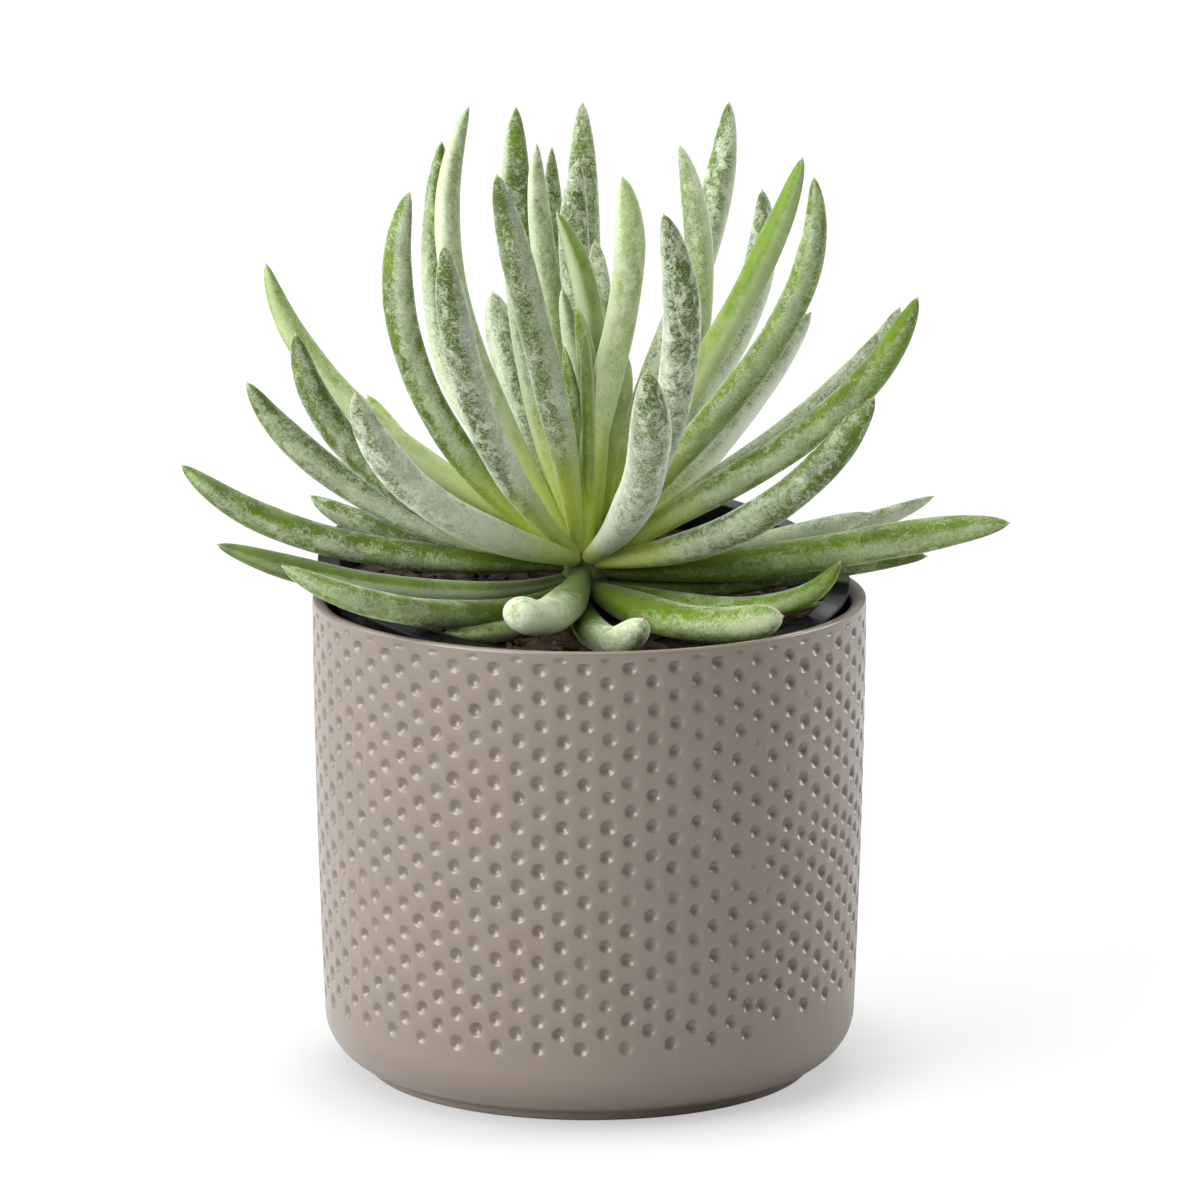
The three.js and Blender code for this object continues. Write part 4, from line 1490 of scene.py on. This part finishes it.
LOW = (
    Leaf(
        (-3, -21.5, 7), (-8.5, -43, 10.5), (-16, -58, 18.5), 6.5, 9.2, Felt.WOOL, 0.45, -0.21, 0.57,
        taper_at=0.9, bare_base=0.55, blunt=1.0, glow=-0.45,
    ),
    Leaf(
        (2, -28.5, 2), (8, -46, 7), (13, -52.5, 15), 1.5, 7.8, Felt.WOOL, 0.45, -0.5, 0.62,
        taper_at=0.87, bare_base=0.5, blunt=0.8, glow=-1.0,
    ),
    Leaf(
        (9.5, -21.5, 6), (23.5, -37.5, 8.5), (44, -45, 14), 2.5, 9.2, Felt.THIN, 0.5, -0.34, 0.39,
        taper_at=0.88, bare_base=0.6, blunt=0.8, glow=-1.0,
    ),
    Leaf(
        (35.5, -10.5, 13), (65.5, -13.5, 20.5), (94.5, -14.5, 27), 6.5, 9.2, Felt.THIN, 0.42, -0.19, -0.01,
        bare_base=0.45, glow=-0.8,
    ),
    Leaf((-32, -7, 9.5), (-63.5, -8, 14.5), (-91.5, -3.5, 28), 7, 7.9, Felt.THIN, 0.2, -0.26, -0.13, glow=-0.7),
    Leaf(
        (24, -19, 5.5), (43.5, -26.5, 9.5), (56.5, -27.5, 21), 3, 6.6, Felt.HAZE, 0.4, -0.14, -0.36,
        bare_base=0.5, glow=-1.0,
    ),
    Leaf(
        (-27.5, -17.5, 5.5), (-55, -26.5, 11), (-82, -29.5, 19), 4.5, 6.8, Felt.BARE, 0.22, -0.08, -0.39,
        glow=-1.0,
    ),
    Leaf(
        (-22, -31, 6), (-45, -52, 15), (-66.5, -54.5, 24), 3, 7.4, Felt.FROST, 0.35, -0.3, -0.01,
        bare_base=0.5, glow=-0.6,
    ),
    Leaf((-6, -16.5, 1), (-18.5, -34, 3), (-30.5, -42, 5.5), 1.5, 5.4, Felt.THIN, 0.45, -0.03, -0.08, glow=-1.0),
    Leaf((22, -12.5, 1.5), (40.5, -20, 5.5), (53.5, -23.5, 9.5), 1.5, 4.4, Felt.THIN, 0.4, glow=-1.0),
    Leaf((24, 4, 8.5), (44.5, 11.5, 11), (65, 18, 16), 6, 6.2, Felt.FROST, 0.3, 0.56, -0.4, glow=0.0),
    Leaf(
        (28.5, -5.5, 5.5), (53, -2, 9.5), (77.5, -0.5, 13), 3, 6.4, Felt.MOTTLE, 0.2, -0.29, -0.36,
        bare_base=0.6, glow=-1.0,
    ),
    Leaf((26, 5, 8.5), (54, 17.5, 10.5), (79.5, 24.5, 18.5), 5, 5.4, Felt.FROST, 0.2, 0.2, -0.05, glow=0.0),
    Leaf(
        (-19, 2, 8), (-42, 7.5, 9.5), (-63, 14.5, 15.5), 6, 6.8, Felt.MOTTLE, 0.15, -0.52, 0.28,
        bare_base=0.5, glow=-1.0,
    ),
    Leaf((12, 22, 9), (23, 43, 11.5), (29, 58, 12.5), 5, 6.8, glow=-1.0),
    Leaf((5, 28, 8), (10, 56, 11.5), (13, 80, 13), 4, 7.2, Felt.MOTTLE, glow=-1.0),
    Leaf((-5, 28, 8), (-10, 56, 11.5), (-15, 80, 13), 5, 7.2, Felt.THIN, 0.3, glow=-1.0),
)

FAMILIES = {"low_leaf": LOW, "middle_leaf": MIDDLE, "inner_leaf": INNER}


@dataclass
class Rosette:
    """All the leaves. One straight sleeve is modelled and then laid along each leaf's middle line.

    Ripples are the height, length in millimetres and turns of the waves in a leaf's surface, and groove and keel the
    smallest and largest depth of the channel on its upper side and of its three ribs.
    """

    finish: LeafFinish
    bare_finish: LeafFinish
    ground: Ground
    stem: Stem
    sides: int = 28
    flatness: float = 0.86
    base: float = 0.42
    full_at: float = 0.45
    tip_from: float = 0.72
    body_steps: int = 34
    tip_steps: int = 20
    nib_radius: float = 0.38
    nib_length: float = 0.9
    ripples: Sequence[tuple[float, float, int]] = ((0.012, 5.5, 2), (0.010, 3.1, -3), (0.015, 12.0, 1))
    groove: tuple[float, float] = (0.02, 0.09)
    groove_width: float = 0.42
    keel: tuple[float, float] = (0.0, 0.03)
    margin_cover: float = 0.66
    thinned: float = 0.95
    thinned_dark: float = 1.5
    tan_tip: tuple[float, float] = (1.0, 0.2)
    apart: float = 173.0

    def _stations(self) -> np.ndarray:
        """Where the sleeve's rings lie, closer together towards the tip.

        Returns:
            Shares of its length, from 0 at the stem to 1 at the tip.
        """
        body = np.linspace(0.0, self.tip_from, self.body_steps, endpoint=False)
        tip = 1.0 - (1 - self.tip_from) * (1 - np.sin(np.linspace(0.0, math.pi / 2, self.tip_steps)))
        return np.concatenate([body, tip])

    def _sleeve(self) -> Piece:
        """The straight sleeve: a disc drawn up ring by ring, one unit long and closed at both ends.

        Returns:
            The sleeve.
        """
        Bench.clear()
        bpy.ops.mesh.primitive_circle_add(vertices=self.sides, radius=1.0, fill_type="TRIFAN")
        piece = Bench.named("sleeve")
        stations = self._stations()
        with Bench.editing(piece, "FACE"):
            for before, after in zip(stations, stations[1:]):
                bpy.ops.mesh.extrude_region_move(TRANSFORM_OT_translate={"value": (0, 0, float(after - before))})
        Bench.mend(piece)
        return piece

    def _fullness(self, along: np.ndarray, leaf: Leaf) -> np.ndarray:
        """How full a leaf is along its length.

        Args:
            along: Shares of its length.
            leaf: The leaf.

        Returns:
            Shares of its width.
        """
        body = self.base + (1 - self.base) * smoothstep(along, -0.1, self.full_at)
        taper = np.clip((along - leaf.taper_at) / (1 - leaf.taper_at), 0.0, 1.0)
        return body * (1 - taper**2) ** (0.56 - 0.1 * leaf.blunt)

    @staticmethod
    def _curve(control: np.ndarray, share: np.ndarray) -> tuple[np.ndarray, np.ndarray]:
        """Points and directions of a cubic curve.

        Args:
            control: Its four control points.
            share: Where to read it, from 0 to 1.

        Returns:
            The points and the unit directions.
        """
        t = share[:, None]
        a, b, c, d = control
        place = (1 - t) ** 3 * a + 3 * (1 - t) ** 2 * t * b + 3 * (1 - t) * t**2 * c + t**3 * d
        way = 3 * (1 - t) ** 2 * (b - a) + 6 * (1 - t) * t * (c - b) + 3 * t**2 * (d - c)
        return place, way / np.linalg.norm(way, axis=1, keepdims=True)

    def _swell(self, along: np.ndarray, angle: np.ndarray, length: float, rng: np.random.Generator) -> np.ndarray:
        """How far a leaf's surface strays from smooth: soft waves, a channel on its upper side and three ribs.

        Args:
            along: How far along the leaf each vertex is, from 0 to 1.
            angle: Its angle round the leaf.
            length: The leaf's length in millimetres.
            rng: The leaf's random numbers.

        Returns:
            A factor for each vertex's distance from the middle line.
        """
        waves = rng.uniform(0, 2 * math.pi, 4)
        uneven = sum(
            height * np.sin(along * length / pitch + wave + turns * angle)
            for (height, pitch, turns), wave in zip(self.ripples, waves)
        )
        groove = rng.uniform(*self.groove) * np.exp(-(((angle - math.pi / 2) / self.groove_width) ** 2))
        keel = rng.uniform(*self.keel) * np.cos(3 * (angle + math.pi / 2))
        middle = smoothstep(along, 0.12, 0.4) * (1 - smoothstep(along, 0.86, 0.98))
        return 1 + (uneven + keel - groove) * middle

    def _lay(self, piece: Piece, leaf: Leaf, seed: int) -> None:
        """Lays a copy of the sleeve along a leaf's middle line, and notes what its finish reads.

        Args:
            piece: The copy.
            leaf: The leaf.
            seed: Makes each leaf a little uneven in its own way.
        """
        rng = np.random.default_rng(seed)
        unit = Bench.points(piece)
        control = leaf.spine(self.stem)
        fine = np.linspace(0.0, 1.0, 401)
        line, _ = self._curve(control, fine)
        gone = np.concatenate([[0.0], np.cumsum(np.linalg.norm(np.diff(line, axis=0), axis=1))])
        length = gone[-1]
        body_end = 1.0 - 0.55 * self.nib_length / length
        along = unit[:, 2]
        place, forward = self._curve(control, np.interp(along * length, gone, fine))
        across = np.array([-leaf.tip[1], leaf.tip[0], 0.0])
        across /= np.linalg.norm(across)
        side = across - (forward @ across)[:, None] * forward
        side /= np.linalg.norm(side, axis=1, keepdims=True)
        face = np.cross(forward, side)
        angle = np.arctan2(unit[:, 1], unit[:, 0])
        half = leaf.width / 2 * self._fullness(np.clip(along / body_end, 0, 1), leaf)
        to_tip = (1.0 - along) * length
        nib = self.nib_radius * np.sqrt(np.clip(to_tip / self.nib_length, 0.0, 1.0)) * (to_tip < self.nib_length)
        off_axis = np.hypot(unit[:, 0], unit[:, 1]) > 0.5
        half = np.maximum(half, nib) * self._swell(along, angle, length, rng) * off_axis
        x, y = np.cos(angle) * half, np.sin(angle) * half * self.flatness
        Bench.move(piece, self.ground.placed(place + side * x[:, None] + face * y[:, None]))
        straight = np.stack([x, y, along * length + self.apart * seed], 1)
        Bench.note(piece, "leaf_place", straight)
        self._note(piece, leaf, rng, along, angle, to_tip)

    def _note(
        self,
        piece: Piece,
        leaf: Leaf,
        rng: np.random.Generator,
        along: np.ndarray,
        angle: np.ndarray,
        to_tip: np.ndarray,
    ) -> None:
        """Writes how the felt lies on a laid leaf and how green its skin is, for its finish to read.

        Args:
            piece: The laid leaf.
            leaf: The leaf.
            rng: The leaf's random numbers.
            along: How far along the leaf each vertex is, from 0 to 1.
            angle: Its angle round the leaf, where 0 and a half turn are the margins.
            to_tip: Its distance to the tip in millimetres.
        """
        coat = leaf.felt.value
        margin = smoothstep(np.abs(np.cos(angle)), 0.70, 1.0)
        base = 1 - smoothstep(along, 0.10, 0.10 + leaf.bare_base)
        patches = coat.patches * (1 + 0.3 * np.sin(along * 9 + rng.uniform(0, 6)))
        usual = coat.cover + leaf.thick + leaf.tipward * (2 * along - 1)
        thinned = self.thinned if leaf.glow >= 0 else self.thinned_dark
        cover = usual + (self.margin_cover - coat.cover) * margin * 0.8 - thinned * base * (coat.cover + 0.15)
        strength = (1 - 0.55 * margin) * (1 - 0.45 * base)
        tone = leaf.tone * (1.25 - 0.55 * along)
        tip = smoothstep(to_tip, *self.tan_tip)
        Bench.note(piece, "leaf_coat", np.stack([cover, patches * strength, coat.web * strength], 1))
        Bench.note(piece, "leaf_skin", np.stack([tone, coat.swirl * strength, tip], 1))
        # leaf_base carries the painted light of bright bases, above nought, and the painted shade of dark ones, below
        # nought.
        Bench.note(piece, "leaf_base", base * leaf.glow)

    def build(self, effects: Effects) -> None:
        """Models every leaf and dresses it.

        Args:
            effects: The shared effects.
        """
        sleeve = self._sleeve()
        felted, bare = self.finish.made(effects), self.bare_finish.made(effects)
        families = [enumerate(family, 1) for family in FAMILIES.values()]
        leaves = [(f"{name}_{index}", leaf) for name, family in zip(FAMILIES, families) for index, leaf in family]
        for seed, (name, leaf) in enumerate(leaves, 1):
            piece = Bench.copied(sleeve, f"felt_{name}")
            self._lay(piece, leaf, seed)
            Bench.smooth(piece, 70.0)
            dress(piece, bare if leaf.felt is Felt.BARE else felted, Slot.LEAF, [name])
        bpy.data.objects.remove(sleeve)


@dataclass(frozen=True)
class Lamp:
    """A soft square light: its name, its place and side in metres, and its power in watts."""

    name: str
    place: Spot
    side: float
    power: float

    def hang(self, towards: Vector) -> None:
        """Hangs the lamp.

        Args:
            towards: The place that it faces, in metres.
        """
        data = bpy.data.lights.new(self.name, "AREA")
        data.shape, data.size, data.energy = "SQUARE", self.side, self.power
        lamp = bpy.data.objects.new(self.name, data)
        bpy.context.scene.collection.objects.link(lamp)
        lamp.location = self.place
        lamp.rotation_euler = (towards - Vector(self.place)).to_track_quat("-Z", "Y").to_euler()


@dataclass
class Studio:
    """The plain floor, the soft lights and the camera.

    Glow is how brightly the floor shines to the camera, and the painted contact shadow is how much less it shines round
    the pot's foot.
    """

    aim: Spot = (2.4, 0.0, 107.4)
    distance: float = 1600.0
    pitch: float = 12.0
    lens: float = 212.6
    sensor: float = 36.0
    clip: tuple[float, float] = (0.1, 40.0)
    floor: float = 12.0
    white: Paint = paint(205, 205, 205)
    grey: Paint = paint(136, 136, 136)
    glow: float = 0.68
    # The painted contact shadow: how much less the floor shines near the pot's foot, and the ring it fades over.
    painted_shadow: float = 0.20
    painted_shadow_ring: tuple[float, float] = (0.048, 0.085)
    air: float = 0.21
    lamps_face: Spot = (0, 0, 0.1)
    lamps: Sequence[Lamp] = (
        Lamp("key_light", (-2.6, -2.0, 2.0), 2.4, 154.0),
        Lamp("top_light", (-0.7, 0.1, 3.4), 2.0, 52.0),
        Lamp("side_light", (-3.6, 0.4, 1.9), 3.0, 74.0),
        Lamp("back_light", (0.8, 3.0, 3.0), 2.0, 70.0),
        Lamp("fill_light", (3.2, 1.3, 1.6), 2.0, 80.0),
    )

    def _floor(self) -> None:
        """A wide pale floor, which is also the backdrop, with a painted contact shadow round the pot's foot."""
        Bench.clear()
        bpy.ops.mesh.primitive_plane_add(size=self.floor, location=(0, 0, 0))
        floor = Bench.named("studio_floor")
        material = bpy.data.materials.new("studio_paper")
        material.use_nodes = True
        sketch = Sketch(material.node_tree)
        seen = sketch.node("ShaderNodeLightPath").outputs["Is Camera Ray"]
        away = sketch.node("ShaderNodeVectorMath", {0: sketch.place()}, operation="LENGTH").outputs["Value"]
        # Painted contact shadow: the floor shines less near the pot's foot.
        glow_less_painted_shadow = sketch.ramp(away, *self.painted_shadow_ring, self.glow - self.painted_shadow, self.glow)
        inputs = {"Roughness": 0.9, "Specular IOR Level": 0.1, "Emission Color": (1, 1, 1, 1)}
        inputs["Base Color"] = sketch.blend(seen, self.white, self.grey)
        inputs["Emission Strength"] = sketch.times(seen, glow_less_painted_shadow)
        shader = sketch.node("ShaderNodeBsdfPrincipled", inputs)
        sketch.node("ShaderNodeOutputMaterial", {"Surface": shader.outputs[0]})
        floor.data.materials.append(material)
        floor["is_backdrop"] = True

    def _air(self) -> None:
        """White all round to the camera, and dim to everything else."""
        world = bpy.data.worlds.new("studio_air")
        bpy.context.scene.world = world
        world.use_nodes = True
        sketch = Sketch(world.node_tree)
        seen = sketch.node("ShaderNodeLightPath").outputs["Is Camera Ray"]
        inputs = {"Color": (1, 1, 1, 1), "Strength": sketch.ramp(seen, 0.0, 1.0, self.air, 1.0)}
        sketch.node("ShaderNodeOutputWorld", {"Surface": sketch.node("ShaderNodeBackground", inputs).outputs[0]})

    def _camera(self) -> None:
        """The camera, in front of the plant and a little above it."""
        data = bpy.data.cameras.new("camera")
        data.lens, data.sensor_width = self.lens, self.sensor
        data.clip_start, data.clip_end = self.clip
        camera = bpy.data.objects.new("camera", data)
        bpy.context.scene.collection.objects.link(camera)
        pitch = math.radians(self.pitch)
        back = Vector((0, -math.cos(pitch), math.sin(pitch)))
        camera.location = (Vector(self.aim) + back * self.distance) * MM
        camera.rotation_euler = (math.pi / 2 - pitch, 0, 0)
        bpy.context.scene.camera = camera

    def build(self) -> None:
        """Sets up the studio."""
        view = bpy.context.scene.view_settings
        view.view_transform, view.look, view.exposure = "Standard", "None", 0.0
        self._air()
        self._floor()
        for lamp in self.lamps:
            lamp.hang(Vector(self.lamps_face))
        self._camera()


def main(low: Vector, high: Vector) -> None:
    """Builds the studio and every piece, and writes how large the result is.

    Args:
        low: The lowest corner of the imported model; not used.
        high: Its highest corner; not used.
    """
    logging.basicConfig(level=logging.INFO, format="%(name)s: %(message)s")
    effects = Effects()
    ground = Ground()
    bark = {"dark": paint(52, 30, 20), "light": paint(112, 68, 44), "fibre": paint(150, 104, 70)}
    rind = {"dark": paint(88, 92, 48), "light": paint(140, 146, 88), "fibre": paint(158, 150, 110)}
    stem = Stem(EarthFinish("stem_bark", **rind), ground)
    felted = LeafFinish("leaf_felt", sheen=0.22, sheen_roughness=0.3, specular=0.25)
    bare = LeafFinish("leaf_skin", sheen=0.18, sheen_roughness=0.4, specular=0.45)
    Studio().build()
    for thing in (
        CeramicPot(GlazeFinish("taupe_glaze", coat_roughness=0.26)),
        NurseryPot(PlasticFinish("black_plastic", specular=0.18), ground),
        Soil(EarthFinish("potting_soil"), EarthFinish("bark", scale=0.7, **bark), ground),
        stem,
        Rosette(felted, bare, ground, stem),
    ):
        thing.build(effects)


if __name__ == "__main__":
    main(*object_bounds())
